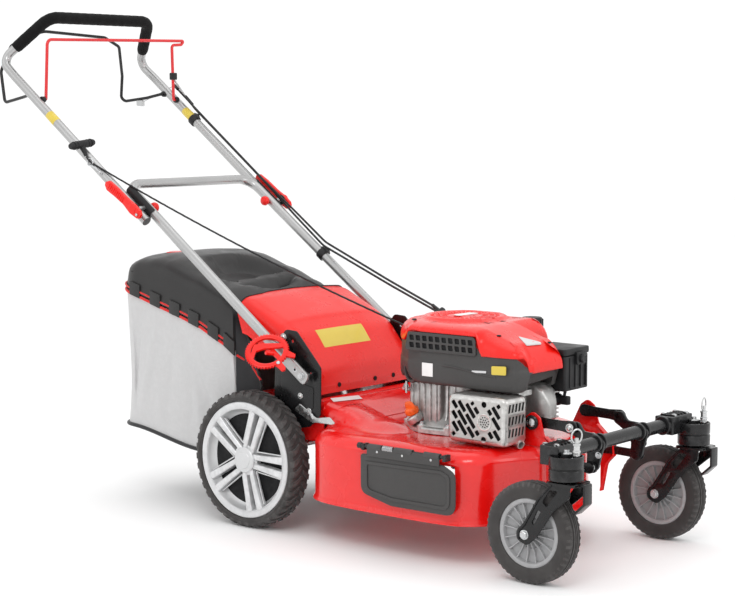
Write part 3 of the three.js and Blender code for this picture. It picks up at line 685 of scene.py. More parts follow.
def deck_ring(k, z, n=168):
    """The deck outline pulled in by k, corner-cut smooth and spaced evenly, at height z."""
    pts = [Vector((x + k * a, y + k * b)) for x, y, a, b in OUT]
    for _ in range(3):
        pts = [q for i in range(len(pts)) for q in (pts[i].lerp(pts[(i + 1) % len(pts)], .25), pts[i].lerp(pts[(i + 1) % len(pts)], .75))]
    # start where the outline crosses x = 0 at the front, so that rings line up
    out = []
    for i in range(n):
        a = -math.pi / 2 - 2 * math.pi * (i + 0.5) / n
        d = Vector((math.cos(a), math.sin(a)))
        best = None
        c = Vector((0, ENG_Y))
        for j in range(len(pts)):
            p, q = pts[j] - c, pts[(j + 1) % len(pts)] - c
            e = q - p
            den = d.x * e.y - d.y * e.x
            if abs(den) < 1e-9:
                continue
            t = (p.x * e.y - p.y * e.x) / den
            s = (p.x * d.y - p.y * d.x) / den
            if t > 0 and -1e-6 <= s <= 1 + 1e-6 and (best is None or t > best):
                best = t
        out.append((c.x + d.x * best, c.y + d.y * best, z))
    return out


def smooth01(t):
    t = max(0.0, min(1.0, t))
    return t * t * (3 - 2 * t)


def deck_top(x, y):
    """Height of the deck's top face: flat round the engine, rising to the discharge tunnel behind it."""
    side = smooth01((180 - abs(x)) / 22)
    z = 240 + 49 * smooth01((y - 86) / 138) * side
    # scroll that lifts out of the right-hand shoulder and runs back into the ramp
    dx, dy = (x + 128) / 62, (y - 96) / 92
    z += 17 * smooth01(1.25 - math.hypot(dx, dy)) * smooth01((212 - y) / 40)
    # raised seat for the engine: left out, this adds nothing
    z += 0.0
    return z


def build_deck():
    rings = [deck_ring(3.2, 93), deck_ring(1.0, 90), deck_ring(0.2, 89.5), deck_ring(0, 92), deck_ring(0.6, 96), deck_ring(3.0, 99), deck_ring(4.0, 103), deck_ring(4.3, 122)]
    zs = [150, 180, 196, 204]
    rings += [deck_ring(4.6, z) for z in zs]
    rings += [deck_ring(4.8, 210), deck_ring(4.2, 214), deck_ring(5.2, 218), deck_ring(8.5, 224), deck_ring(13.5, 230), deck_ring(20, 235), deck_ring(28, 238.6)]
    edge = deck_ring(36, 240)
    n = len(edge)
    tops = []
    for f in [0, .05, .1, .15, .2, .26, .32, .38, .44, .5, .56, .62, .68, .74, .8, .88]:
        tops.append([(x * (1 - f), ENG_Y + (y - ENG_Y) * (1 - f)) for x, y, _ in edge])
    for t in tops:
        rings.append([(x, y, deck_top(x, y)) for x, y in t])
    # keep the shoulder rings in step with the ramp behind them
    for j in range(len(rings)):
        if rings[j][0][2] > 222 and j < len(rings) - len(tops):
            rings[j] = [(x, y, z + (deck_top(x * 0.97, y * 0.97) - 240) * (0.9 if z > 236 else 0.55 if z > 229 else 0.2)) for x, y, z in rings[j]]
    verts = [P(*p) for r in rings for p in r]
    faces = []
    for i in range(len(rings) - 1):
        for k in range(n):
            j = (k + 1) % n
            q = (i * n + k, i * n + j, (i + 1) * n + j, (i + 1) * n + k)
            c = sum((verts[a] for a in q), Vector()) / 4
            cx, cy, cz = c.x * 1000, c.y * 1000 + OY, c.z * 1000
            if cx < -240 and -205 < cy < -5 and 122 < cz < 209:
                continue            # side discharge opening
            if cy > 196 and abs(cx) < 152 and 122 < cz < 209:
                continue            # way into the rear tunnel
            faces.append(q)
    me = bpy.data.meshes.new("deck")
    me.from_pydata([tuple(v) for v in verts], [], faces)
    bm = bmesh.new()
    bm.from_mesh(me)
    bpy.data.meshes.remove(me)
    bmesh.ops.recalc_face_normals(bm, faces=bm.faces)
    up = [f for f in bm.faces if f.calc_center_median().z > 0.238]
    if sum(f.normal.z for f in up) < 0:
        bmesh.ops.reverse_faces(bm, faces=bm.faces)
    return bm


deck = to_obj("deck_shell", build_deck(), RED, "chassis", "deck", "deck_red", smooth=50, solid=2.6)
sec = lambda w, z: [(-w, 200), (-w, z - 14), (-w + 3, z - 6), (-w + 7, z - 2), (-w + 14, z), (w - 14, z), (w - 7, z - 2), (w - 3, z - 6), (w, z - 14), (w, 200)]
tun = loft([[(x, y, z) for x, z in sec(w, 288)] for y, w in ((212, 172.5), (384, 172.5), (389, 160), (431, 160))], False, False, False)
if sum(f.normal.z for f in tun.faces if abs(f.normal.z) > .9) < 0:
    bmesh.ops.reverse_faces(tun, faces=tun.faces)
to_obj("discharge_tunnel", tun, RED, "chassis", (), "deck_red", smooth=45, solid=2.6)

# front pivot horns
horn = [(-222, 240.6), (-252, 252, 20), (-276, 300, 14), (-293, 312, 12), (-311, 300, 12), (-322, 262, 20), (-364, 226, 12), (-366, 200, 12), (-346, 180, 20), (-334, 120), (-327, 118), (-327, 236), (-312, 240.6)]
both("front_horn", prism(horn, -103, -99.2, "x", per=8, edge=0.7), RED, "chassis", "front_bracket_{s}", "deck_red", smooth=35)
flange = prism([(-322, 262), (-364, 226, 12), (-366, 200, 12), (-346, 180, 20), (-334, 120), (-331, 120), (-343, 181, 20), (-362.6, 201, 12), (-361, 225, 12), (-320, 260)], -103, -90, "x", edge=0.5)
both("front_horn_flange", flange, RED, "chassis", None, "deck_red", smooth=35)

# handle side plates
plate = [(236, 234, 14), (206, 262, 10), (204, 366, 14), (274, 441, 10), (306, 443, 14), (336, 400, 20), (342, 290, 20), (342, 205, 10), (346, 162, 14), (322, 156, 14), (304, 165, 10), (296, 222, 10)]
inner = [(244, 256, 10), (226, 276, 8), (224, 322, 8), (250, 326, 8), (282, 372, 10), (300, 372, 10), (318, 340, 8), (322, 240, 8), (300, 246, 8)]
both("handle_side_plate", join(prism(plate, -190, -186.7, "x", holes=[(REAR_PIVOT[0], REAR_PIVOT[1], 8.4), (286, 418, 4), (234, 352, 2.5)], edge=0.6),
     prism(inner, -191.6, -189.6, "x", edge=0.8)), POWDER, "chassis", "handle_plate_{s}", "steel_black", smooth=35)
# bolts on the side plate; the gusset that folds over towards the tunnel is not built
both("side_plate_bolts", join(hexbolt((-190, 312, 425), (-198, 312, 425), 12, 6, 9, dome=True), hexbolt((-191.6, 238, 268), (-199, 238, 268), 10, 5, 8),
     hexbolt((-190, 330, 190), (-199, 330, 190), 10, 5, 8), hexbolt((-191.6, 262, 300), (-199, 262, 300), 9, 5, 7, dome=True)), ZINC, "chassis", None, "zinc", smooth=30)

# cutting-height lever: bent flat bar with a hooked end and its pivot bolt
hl = join(prism([(280, 268, 6), (262, 284, 8), (214, 256, 12), (176, 262, 8), (160, 249, 5), (170, 246, 5), (212, 246, 8), (226, 244, 8)], -194.2, -191.8, "x", per=8, edge=0.6),
          turned([(0, 0), (7, 0), (7, 0.8), (5, 1.7), (0, 2.0)], 22, (-194.0, 228, 258), (-198, 228, 258)))
to_obj("height_lever_bar", hl, ZINC, "height_lever", "height_lever", "zinc", smooth=32)

# side discharge flap, its rod, spring and hinge knuckles
flap = [(20, 214, 8), (20, 132, 22), (-60, 113, 40), (-226, 113, 26), (-226, 200, 20), (-196, 214, 10)]
rim = [(8, 200, 6), (8, 138, 16), (-62, 124, 34), (-214, 124, 20), (-214, 194, 14), (-192, 203, 8)]
rim2 = [(1, 193, 5), (1, 142, 14), (-64, 131, 30), (-207, 131, 16), (-207, 190, 12), (-189, 196, 7)]
sf = join(prism(flap, -275.8, -272, "x", per=8, edge=1.2), prism(rim, -278.2, -275.2, "x", holes=[rim2], per=8, edge=0.9),
          prism([(-2, 212), (-2, 233, 4), (-190, 233, 4), (-190, 212)], -282.2, -278.8, "x", edge=0.8))
for y0, y1 in ((-4, -40), (-74, -120), (-150, -190)):
    sf = join(sf, turned([(4.7, 0), (6.6, 0.5), (6.6, abs(y1 - y0) - .5), (4.7, abs(y1 - y0))], 22, (-277, y0, 231), (-277, y1, 231)))
to_obj("side_flap_panel", sf, GREY, "side_flap", "side_flap", "black_plastic", smooth=38)
to_obj("side_flap_pin", join(rod((-277, -198, 231), (-277, 14, 231), 3.6), rod((-277, 14, 231), (-277, 25, 231), 6.4, 20, 1.5),
       prism([(-281, -206), (-264, -206), (-264, -198), (-281, -198)], 222.5, 236, "z", edge=1), prism([(-281, 6), (-264, 6), (-264, 14), (-281, 14)], 222.5, 236, "z", edge=1)), POWDER, "chassis", "side_flap_rod", "steel_black")
hel = [Vector((-277 + 5.6 * math.cos(a), -43 - 27 * a / 62.8, 231 + 5.6 * math.sin(a))) for a in np.linspace(0, 62.8, 260)]
to_obj("side_flap_spring", tube(hel, 0.9, 8), ZINC, "side_flap", (), "zinc", smooth=60)
to_obj("side_flap_screws", join(*[hexbolt((-282.2, y, 223), (-284.5, y, 223), 5, 1.8, dome=True) for y in (-30, -96, -170)]), ZINC, "side_flap", (), "zinc")


# --------------------------------------------------------------- wheels
def blocks(r0, r1, spec, n, shift=0.0, chamfer=0.7, slices=3):
    """Tread blocks: spec is a list of (h, angle offset, width in degrees) from one end to the other."""
    verts, faces = [], []
    for i in range(n):
        base = 360 / n * (i + shift)
        rows = []
        for h, off, w, ra, rb in spec:
            row = []
            for r, c in ((ra, 0), (rb - chamfer, 0), (rb, chamfer)):
                for s in (-1, 1):
                    ww = w / 2 - math.degrees(c / max(r, 1))
                    a = math.radians(base + off + s * ww)
                    row.append((h, r * math.cos(a), r * math.sin(a)))
            rows.append([row[0], row[2], row[4], row[5], row[3], row[1]])
        s0 = len(verts)
        for row in rows:
            verts += row
        m = 6
        for j in range(len(rows) - 1):
            for k in range(m):
                q = (k + 1) % m
                faces.append((s0 + j * m + k, s0 + j * m + q, s0 + (j + 1) * m + q, s0 + (j + 1) * m + k))
        faces.append(tuple(s0 + k for k in range(m)))
        faces.append(tuple(s0 + (len(rows) - 1) * m + k for k in reversed(range(m))))
    return verts, faces


def at_x(vf, x, y, z):
    return mesh_of([P(a + x, b + y, c + z) for a, b, c in vf[0]], vf[1])


WY, WZ, WX = 380, 152, -223
tyre_prof = [(130.6, -23.5), (131.5, -26), (134, -27.6), (138, -28.2), (142.5, -27.6), (146, -25.4), (147.8, -21.5), (148.4, -12), (148.6, 0), (148.4, 12), (147.8, 21.5), (146, 25.4), (142.5, 27.6), (138, 28.2), (134, 27.6), (131.5, 26), (130.6, 23.5)]
tb = [lathe(tyre_prof, 96, "x", (WX, WY, WZ))]
for sgn in (-1, 1):
    spec = [(sgn * 3.2, 0.4, 3.2, 146, 151.7), (sgn * 12, 3.4, 4.2, 146, 151.9), (sgn * 20, 5.4, 5.0, 146, 151.4), (sgn * 25.2, 6.2, 5.2, 144, 149.2), (sgn * 28.0, 6.4, 5.2, 138, 144.2)]
    tb.append(at_x(blocks(146, 151.8, spec, 40, 0.0 if sgn < 0 else 0.5), WX, WY, WZ))
    ring = [Vector((WX + sgn * 28.1, WY + 136 * math.cos(a), WZ + 136 * math.sin(a))) for a in np.linspace(0, 2 * math.pi, 96, endpoint=False)]
    tb.append(tube(ring, 0.6, 6, closed=True))
both("rear_tyre_moulding", join(*tb), TYRE, "rear_wheel_{s}", "rear_tyre_{s}", "tyre", smooth=28)

rp = [(112, -21), (113.5, -24.6), (116, -26), (128, -26.4), (129.6, -25), (130, -22), (129.6, 22), (126, 23), (122, 14), (112, 6), (103, 2), (100, -2), (100, -5.5), (104, -8), (109, -12)]
rb = [lathe(rp, 96, "x", (WX, WY, WZ))]
groove = [Vector((WX - 26.0, WY + 115 * math.cos(a), WZ + 115 * math.sin(a))) for a in np.linspace(0, 2 * math.pi, 96, endpoint=False)]
rb.append(tube(groove, 0.9, 6, closed=True))


def spoke_pair(phi):
    """Two bars with a slot between them; phi from +Z towards the front."""
    f = Vector((-math.sin(phi), math.cos(phi)))       # radial, as (y, z)
    g = Vector((math.cos(phi), math.sin(phi)))        # across
    out = []
    for sgn in (-1, 1):
        sts = [(20, 4.6, 15.5, -22.5, -6), (34, 4.8, 16.5, -24, -7), (60, 5.6, 18.5, -25.2, -9), (90, 6.6, 21.5, -26, -10), (113, 7.4, 24.5, -26.2, -11)]
        rings = []
        for r, a, b, h0, h1 in sts:
            c = 1.6
            q = [(a + c, h0), (b - c, h0), (b, h0 + c), (b + 1.5, h1), (a - 1.0, h1), (a, h0 + c)]
            rings.append([(WX + h, WY + f.x * r + g.x * u * sgn, WZ + f.y * r + g.y * u * sgn) for u, h in q])
        out.append(loft(rings))
        # narrow raised bead that follows the bar's outer edge
        bead = [(WX - 16 - r * 0.02, WY + f.x * r + g.x * (20.5 + r * 0.055) * sgn, WZ + f.y * r + g.y * (20.5 + r * 0.055) * sgn) for r in (30, 50, 75, 104)]
        out.append(tube([Vector(b) for b in bead], 1.6, 8))
    # web at the foot of the slot
    out.append(loft([[(WX + h, WY + f.x * r + g.x * u, WZ + f.y * r + g.y * u) for u, h in ((-6, -21), (6, -21), (7, -8), (-7, -8))] for r in (16, 34)]))
    return join(*out)


for k in range(5):
    rb.append(spoke_pair(math.radians(21 + 72 * k)))
rb.append(lathe([(8.9, -12), (22, -12), (27, -14), (29, -20), (28.5, -25.5), (26.5, -27.6), (19, -28.4), (18, -29.6), (8, -30.2), (0, -30.3), (0, -10)], 64, "x", (WX, WY, WZ)))
rb.append(lathe([(24, -6), (104, -6), (104, 0), (30, 2), (24, 18), (9, 18), (9, -6)], 72, "x", (WX, WY, WZ)))
rims = both("rear_rim_moulding", join(*rb), RIM, "rear_wheel_{s}", "rear_rim_{s}", "rim_silver", smooth=36)
# thin dark disc behind the spokes: painted shade of the rim's inner dish
pk = [lathe([(25, -6.6), (102.5, -6.6), (102.5, -6.1), (25, -6.1)], 64, "x", (WX, WY, WZ))]
both("rear_rim_backing", join(*pk), DARK_AND_SHADE, "rear_wheel_{s}", None, "black_plastic", smooth=36)

ax = join(rod((-186, *REAR_PIVOT), (186, *REAR_PIVOT), 8, 24), rod((-252, WY, WZ), (-180, WY, WZ), 8, 20), rod((180, WY, WZ), (252, WY, WZ), 8, 20))
cr = [(318, 190, 8), (312, 172, 8), (325, 163, 8), (372, 139, 8), (390, 144, 8), (390, 162, 8), (372, 166, 8), (335, 192, 8)]
ax = join(ax, prism(cr, -186, -178, "x", edge=1), prism(cr, 178, 186, "x", edge=1))
to_obj("rear_axle_carrier", ax, ZINC, "rear_axle", "rear_axle", "zinc", smooth=32)

CX, CY, CR = -242, -393, 101.6
cp_ = [(69.2, -17), (70.5, -19), (74, -20.4), (84, -21.8), (92, -21.2), (97, -18.5), (99.8, -14.5), (100.6, -11.2), (98.8, -10.4), (98.8, -8.6), (101.2, -7.8), (101.5, -4.2), (99.4, -3.4), (99.4, -1.6), (101.6, -0.9),
       (101.6, 0.9), (99.4, 1.6), (99.4, 3.4), (101.5, 4.2), (101.2, 7.8), (98.8, 8.6), (98.8, 10.4), (100.6, 11.2), (99.8, 14.5), (97, 18.5), (92, 21.2), (84, 21.8), (74, 20.4), (70.5, 19), (69.2, 17)]
ct = [lathe(cp_, 96, "x", (CX, CY, CR))]
for sgn in (-1, 1):
    ct.append(at_x(blocks(94, 98, [(sgn * 13.5, 0, 3.4, 96, 100.9), (sgn * 17.5, 0.6, 3.4, 93, 99.3), (sgn * 21.2, 1.0, 3.2, 88, 93.6)], 48), CX, CY, CR))
both("caster_tyre_moulding", join(*ct), TYRE, "caster_wheel_{s}", "caster_tyre_{s}", "tyre", smooth=28)
cr_ = [lathe([(58, -8), (60, -16.2), (62, -17.4), (67, -17.6), (68.8, -16.5), (68.8, 16.5), (67, 17.6), (62, 17.4), (60, 16.2), (58, 8), (34, 6.5), (32, 8.5), (30, 6.5), (15, 7), (14, 23), (13, 24), (6.6, 24), (6.6, -24), (13, -24), (14, -23), (15, -7), (30, -6.5), (32, -8.5), (34, -6.5)], 80, "x", (CX, CY, CR))]
for i in range(16):
    a = 2 * math.pi * (i + .3) / 16
    f, g = Vector((math.cos(a), math.sin(a))), Vector((-math.sin(a), math.cos(a)))
    for sgn in (-1, 1):
        rings = []
        for r, w, h in ((13, 1.5, 21), (22, 1.4, 15.5), (40, 1.3, 12), (59.5, 1.5, 14.5)):
            rings.append([(CX + hh, CY + f.x * r + g.x * u, CR + f.y * r + g.y * u) for u, hh in ((-w, sgn * 5), (w, sgn * 5), (w * .7, sgn * h), (-w * .7, sgn * h))])
        cr_.append(loft(rings))
both("caster_rim_moulding", join(*cr_), RIMG, "caster_wheel_{s}", "caster_rim_{s}", "rim_grey", smooth=34)

# caster forks
SX, SY = -242, -469
arm = [(-498, 207.6), (-454, 207.6), (-424, 176, 10), (-388, 122, 16), (-374, 108, 14), (-374, 90, 14), (-399, 80, 14), (-420, 98, 14), (-462, 158, 12), (-496, 186, 8)]
win = [(-471, 197, 3), (-452, 197, 4), (-434, 172, 6), (-444, 162, 3)]
slit = [(-431, 152, 1.5), (-424, 154, 1.5), (-410, 128, 1.5), (-414, 123, 1.5)]
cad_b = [prism([(SX - 31, -506, 6), (SX - 31, -440, 10), (SX + 31, -440, 10), (SX + 31, -506, 6)], 206.8, 212, "z", edge=0.8, per=8)]
for x0 in (SX - 31, SX + 27):
    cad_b.append(prism(arm, x0, x0 + 4, "x", holes=[win, slit], per=8, edge=0.8))
# folded rims that stiffen the arms
for x0, x1 in ((SX - 33.2, SX - 27), (SX + 27, SX + 33.2)):
    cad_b.append(prism([(-381, 90, 4), (-378.3, 92, 8), (-378.3, 108, 8), (-392, 123, 14), (-424, 177, 10), (-454, 207.4), (-457, 207.4), (-427, 175, 10), (-395, 121, 14), (-382, 107, 8)], x0, x1, "x", per=8, edge=0.5))
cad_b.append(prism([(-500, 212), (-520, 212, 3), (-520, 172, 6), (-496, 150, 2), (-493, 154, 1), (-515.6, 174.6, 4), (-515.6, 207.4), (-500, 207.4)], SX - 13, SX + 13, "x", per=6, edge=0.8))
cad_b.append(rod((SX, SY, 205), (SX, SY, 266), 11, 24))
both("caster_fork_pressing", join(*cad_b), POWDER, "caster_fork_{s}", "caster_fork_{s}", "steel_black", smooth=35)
cb = [rod((SX - 27, CY, CR), (SX + 27, CY, CR), 5.6, 18)]
for sgn in (-1, 1):
    cb.append(hexbolt((SX + sgn * 31, CY, CR), (SX + sgn * 40, CY, CR), 14, 6, 10))
cb.append(turned([(0, 0), (14.2, 0), (14.2, 1.6), (12.5, 2), (12.5, 3), (11, 3.6), (0, 3.6)], 28, (SX, SY, 254), (SX, SY, 270)))
cb.append(hexbolt((SX, SY, 257), (SX, SY, 268), 19, 11))
cb.append(rod((SX, SY, 262), (SX, SY, 273.6), 5.4, 18))
both("caster_fork_bolts", join(*cb), ZINC, "caster_fork_{s}", None, "zinc", smooth=30)

# caster heads on the axle
hd = [lathe([(12.4, 214.4), (32, 214.4), (34.5, 216), (34.5, 235), (33.6, 236.4), (32.6, 237), (32.6, 238.4), (33.6, 239), (34.5, 240.4), (34.5, 260), (33.6, 261.8), (31.6, 262), (31, 261), (30.6, 254), (12.4, 253.6)], 56, "z", (SX, SY, 0))]
hd.append(prism([(SX - 12, -457), (-214, -457, 4), (-174, -457, 4), (-174, -413, 4), (SX - 12, -413, 6)], 240.5, 278.4, "z", per=6, edge=2.2))
for x in (-248, -238, -226, -214, -202, -190):
    hd.append(prism([(-456, 276), (-450, 281.4, 3), (-420, 281.4, 3), (-414, 276)], x - 1.6, x + 1.6, "x", edge=0.5))
hd.append(lathe([(14.2, -3), (18.6, -3), (20, -1.5), (20, 5), (18.6, 6.5), (14.2, 6.5)], 40, "x", (-172, AXLE[0], AXLE[1])))
both("caster_head_casting", join(*hd), POWDER, "front_axle", "caster_head_{s}", "steel_black", smooth=34)
hb = [hexbolt((x, y, 278.6), (x, y, 284), 9, 4, 6) for x, y in ((-244, -447), (-196, -447), (-196, -421), (-244, -421))]
both("caster_head_bolts", join(*hb), ZINC, "front_axle", None, "zinc", smooth=30)
lp = [rod((SX, SY - 23, 222), (SX, SY - 23, 299), 4, 18), turned([(0, 0), (8, 0), (8, 3), (6.5, 4), (6.5, 13), (8, 14), (8, 17), (0, 17)], 24, (SX, SY - 23, 271), (SX, SY - 23, 290))]
sp = [Vector((SX + 6.4 * math.cos(a), SY - 23 + 6.4 * math.sin(a), 264 + 7.5 * a / 25)) for a in np.linspace(0, 25, 120)]
lp.append(tube(sp, 0.9, 8))
lp.append(tube([Vector((SX + 13.5 * math.cos(a), SY - 23 - 3 * math.cos(a), 302 + 13.5 * math.sin(a))) for a in np.linspace(0, 2 * math.pi, 40, endpoint=False)], 1.7, 10, closed=True))
both("lock_pin_pull", join(*lp), ZINC, "lock_pin_{s}", "lock_pin_{s}", "zinc", smooth=34)

# axle tube, clamps and dog-bone brackets
dog = [(-370, 297, 6), (-392, 297, 10), (-404, 280, 10), (-432, 278, 12), (-455, 262, 12), (-446, 232, 10), (-440, 208, 10), (-428, 197, 8), (-412, 206, 10), (-414, 236, 10), (-392, 262, 12), (-372, 274, 8)]
at_ = [tube(densify([Vector((-236, *AXLE)), Vector((236, *AXLE))], 30), 14, 32)]
for x0 in (-86, 79):
    at_.append(prism(dog, x0, x0 + 7, "x", per=8, edge=1.2))
for x0 in (-92, -73, 73, 92):
    at_.append(lathe([(14, -3), (17.4, -3), (18.2, -2), (18.2, 2), (17.4, 3), (14, 3)], 36, "x", (x0, *AXLE)))
for sgn in (-1, 1):
    at_.append(rod((sgn * 79, *U2), (sgn * 100, *U2), 5.4, 16))
    at_.append(lathe([(5, 0), (10.5, 0), (11.5, 1), (11.5, 5), (10.5, 6), (5, 6)], 28, "x", (79 + .5 if sgn > 0 else -86.5, *L2)))
to_obj("front_axle_tube", join(*at_), POWDER, "front_axle", "axle_tube", "steel_black", smooth=35)
both("front_axle_bolts", join(hexbolt((-98.5, *U2), (-105, *U2), 12, 5, 9, dome=True), hexbolt((-86.8, *L2), (-99, *L2), 11, 5, 8, dome=True), hexbolt((-86, -441, 236), (-95, -441, 236), 9, 4, 7)), ZINC, "front_axle", None, "zinc", smooth=30)


def link(a, b, r, x0, x1, waist=0.7):
    d = math.hypot(b[0] - a[0], b[1] - a[1])
    c, s = (b[0] - a[0]) / d, (b[1] - a[1]) / d
    loc = []
    for i in range(13):
        t = math.pi / 2 + math.pi * i / 12
        loc.append((r * math.cos(t), r * math.sin(t)))
    loc += [(d * .3, -r * waist), (d * .7, -r * waist)]
    for i in range(13):
        t = -math.pi / 2 + math.pi * i / 12
        loc.append((d + r * math.cos(t), r * math.sin(t)))
    loc += [(d * .7, r * waist), (d * .3, r * waist)]
    pts = [(a[0] + u * c - v * s, a[1] + u * s + v * c) for u, v in loc]
    return prism(pts, x0, x1, "x", edge=0.9)


both("upper_link_bar", join(link(U1, U2, 13, -93, -88, .8), rod((-105, *U1), (-92, *U1), 8, 24), lathe([(8, -109.4), (13.4, -109.4), (15, -108), (15, -104.6), (14, -103.6), (8, -103.6)], 36, "x", (0, *U1)),
     rod((-93, *U2), (-98, *U2), 8.6, 24)), POWDER, "upper_links", "upper_link_{s}", "steel_black", smooth=35)
both("upper_link_bolts", hexbolt((-108.6, *U1), (-116, *U1), 17, 5.2, dome=True), ZINC, "upper_links", None, "zinc", smooth=30)
both("lower_link_bar", join(link(L1, L2, 11, -97.5, -93, .8), rod((-105, *L1), (-97, *L1), 5.8, 20)), POWDER, "lower_links", "lower_link_{s}", "steel_black", smooth=35)
both("lower_link_bolts", hexbolt((-103.4, *L1), (-112, *L1), 13, 5, 9), ZINC, "lower_links", None, "zinc", smooth=30)

# --------------------------------------------------------------- handle
UP = [(-229, 698, 666), (-231, 1150, 1002.5), (-228, 1200, 1040, 30), (-163, 1096, 1143, 40), (163, 1096, 1143, 40), (228, 1200, 1040, 30), (231, 1150, 1002.5), (229, 698, 666)]
up = densify(bend(UP), 25)


def upper_section(i, t):
    """Round tube all along; a flattening towards its two lower ends is worked out but not applied."""
    d = min(i, len(up) - 1 - i) * 25
    f = 1 - smooth01(d / 70)
    return circle(11, 28)


ub = [sweep(up, upper_section)]
for sgn in (-1, 1):
    ub.append(rod((sgn * 217.6, *CAM), (sgn * 246, *CAM), 5, 18))
to_obj("upper_handle_tube", join(*ub), LACQ, "upper_handle", "upper_handle", "tube_silver", smooth=60)
both("cam_bolt_through", rod((-217, *CAM), (-194.6, *CAM), 5, 18), ZINC, "upper_handle", None, "zinc")

g = [q for q in densify(bend(UP), 8) if q.z > 1066]
gl = len(g)


def grip_section(i, t):
    e = min(i, gl - 1 - i)
    r = 14.4 if e > 1 else (12.6 if e == 0 else 14.0)
    r += 0.25 * math.sin(i * 2.1)
    return circle(r, 26)


to_obj("foam_grip_sleeve", sweep(g, grip_section), FOAM, "upper_handle", "grip", "foam", smooth=60)

# lower handle: round tube whose ends are pressed to a flat bar
low = bend([(-209, *along(FOLD, 84)), (-206, *CAM), (-206, 788, 748, 42), (206, 788, 748, 42), (206, *CAM), (209, *along(FOLD, 84))])
head = [Vector((-209.5, *along(FOLD, d))) for d in (-17, -16, -13, -6, 20, 50, 66, 76)]
tail = [Vector((-q.x, q.y, q.z)) for q in reversed(head)]
full = head + densify([Vector((-209.4, *along(FOLD, 86))), Vector((-209.2, *along(FOLD, 100))), Vector((-209, *along(FOLD, 118))), Vector((-208.9, *along(FOLD, 136)))] + low[1:-1] + [Vector((208.9, *along(FOLD, 136))), Vector((209, *along(FOLD, 118))), Vector((209.2, *along(FOLD, 100))), Vector((209.4, *along(FOLD, 86)))], 24) + tail
nf = len(full)


def low_section(i, t):
    q = full[i]
    d = (q.y - FOLD[0]) * S[0] + (q.z - FOLD[1]) * S[1]
    flat = 1 - smooth01((d - 72) / 62)
    hw, ht = 11 + 3.2 * flat, 11 * (1 - flat) + 3.4 * flat
    end = 1.0
    if d < -12.5:
        end = 0.35 if d < -16.5 else (0.62 if d < -15 else 0.9)
    p = 2 + 4 * flat
    out = []
    for k in range(32):
        a = 2 * math.pi * k / 32
        c, s = math.cos(a), math.sin(a)
        out.append((hw * end * math.copysign(abs(c) ** (2 / p), c), ht * math.copysign(abs(s) ** (2 / p), s)))
    return out


# the section's long side has to lie in the Y-Z plane at the flat ends
def sweep_x(pts, section):
    pts = [Vector(p) for p in pts]
    n = len(pts)
    tans = [(pts[min(i + 1, n - 1)] - pts[max(i - 1, 0)]).normalized() for i in range(n)]
    v = Vector((1, 0, 0))
    rows, verts = [], []
    for i in range(n):
        if i:
            v = tans[i - 1].rotation_difference(tans[i]) @ v
        v = (v - tans[i] * v.dot(tans[i])).normalized()
        u = v.cross(tans[i]).normalized()
        sec = section(i, i / (n - 1))
        rows.append(range(len(verts), len(verts) + len(sec)))
        verts += [P(*(pts[i] + u * a + v * b)) for a, b in sec]
    m = len(rows[0])
    faces = [(rows[i][k], rows[i][(k + 1) % m], rows[i + 1][(k + 1) % m], rows[i + 1][k]) for i in range(n - 1) for k in range(m)]
    faces += [tuple(rows[0]), tuple(reversed(rows[-1]))]
    return mesh_of(verts, faces)


to_obj("lower_handle_tube", sweep_x(full, low_section), LACQ, "lower_handle", "lower_handle", "tube_silver", smooth=50)
hb = join(rod((-217, *FOLD), (-187, *FOLD), 5, 18), hexbolt((-213, *FOLD), (-220, *FOLD), 13, 5, 9))
both("fold_bolts", hb, ZINC, "lower_handle", None, "zinc", smooth=30)
q = along(FOLD, 22)
both("flat_end_eyelet", lathe([(3.0, -213.4), (5.4, -213.4), (5.8, -213.1), (5.8, -212.9), (3.0, -212.9)], 24, "x", (0, *q)), ZINC, "lower_handle", None, "zinc")
# dark disc filling the hole in the flat end: painted shade
both("flat_end_hole_shade_disc", lathe([(0, -213.2), (3.1, -213.2), (3.1, -212.8), (0, -212.8)], 24, "x", (0, *q)), DARK_AND_SHADE, "lower_handle", None, "black_plastic")

# saddle spacers, cam levers and wing nuts at the joint of the two tubes
def arc_plate(c, d0, d1, x0, x1, r_in, r_out, a0, a1, n=10):
    """A saddle lying along the tube between stations d0 and d1."""
    rings = []
    for d in (d0, d0 + 2, d1 - 2, d1):
        y, z = along(c, d)
        k = 0.6 if d in (d0, d1) else 0
        ring = []
        for rr, sg in ((r_out - k, 1), (r_in, -1)):
            an = np.linspace(a0, a1, n) if sg > 0 else np.linspace(a1, a0, n)
            for a in an:
                ring.append((x0 + rr * math.cos(a), y - S[1] * rr * math.sin(a), z + S[0] * rr * math.sin(a)))
        rings.append(ring)
    return loft(rings)


both("joint_saddle_lower", arc_plate(CAM, -24, 70, -206, 0, 11.1, 14.2, math.radians(110), math.radians(250)), BLK, "lower_handle", None, "black_plastic", smooth=40)
cl_pts = [(-30, -6), (-24, -10), (0, -14), (30, -11), (64, -14), (92, -18), (104, -12), (106, -4), (98, 5), (70, 8), (30, 9), (0, 12), (-22, 11), (-30, 5)]
body_ = prism([(*along(CAM, d, n), 4) for d, n in cl_pts], -257.6, -247.6, "x", per=5, edge=2.6)
ribs = [prism([(*along(CAM, d - 1.2, -9), 0), (*along(CAM, d + 1.2, -9), 0), (*along(CAM, d + 1.2, 4), 0), (*along(CAM, d - 1.2, 4), 0)], -259.2, -256.8, "x", edge=0.3) for d in range(36, 96, 6)]
hub = turned([(0, 0), (13, 0), (13, 2), (12, 4), (6, 4.6), (0, 4.6)], 28, (-254.5, *CAM), (-262, *CAM))
both("cam_lever_handle", join(body_, hub, *ribs), REDP, "cam_lever_{s}", "cam_lever_{s}", "red_plastic", smooth=40)
both("cam_lever_pin", join(rod((-262, *along(CAM, -22)), (-246, *along(CAM, -22)), 3.4, 16)), ZINC, "cam_lever_{s}", None, "zinc")
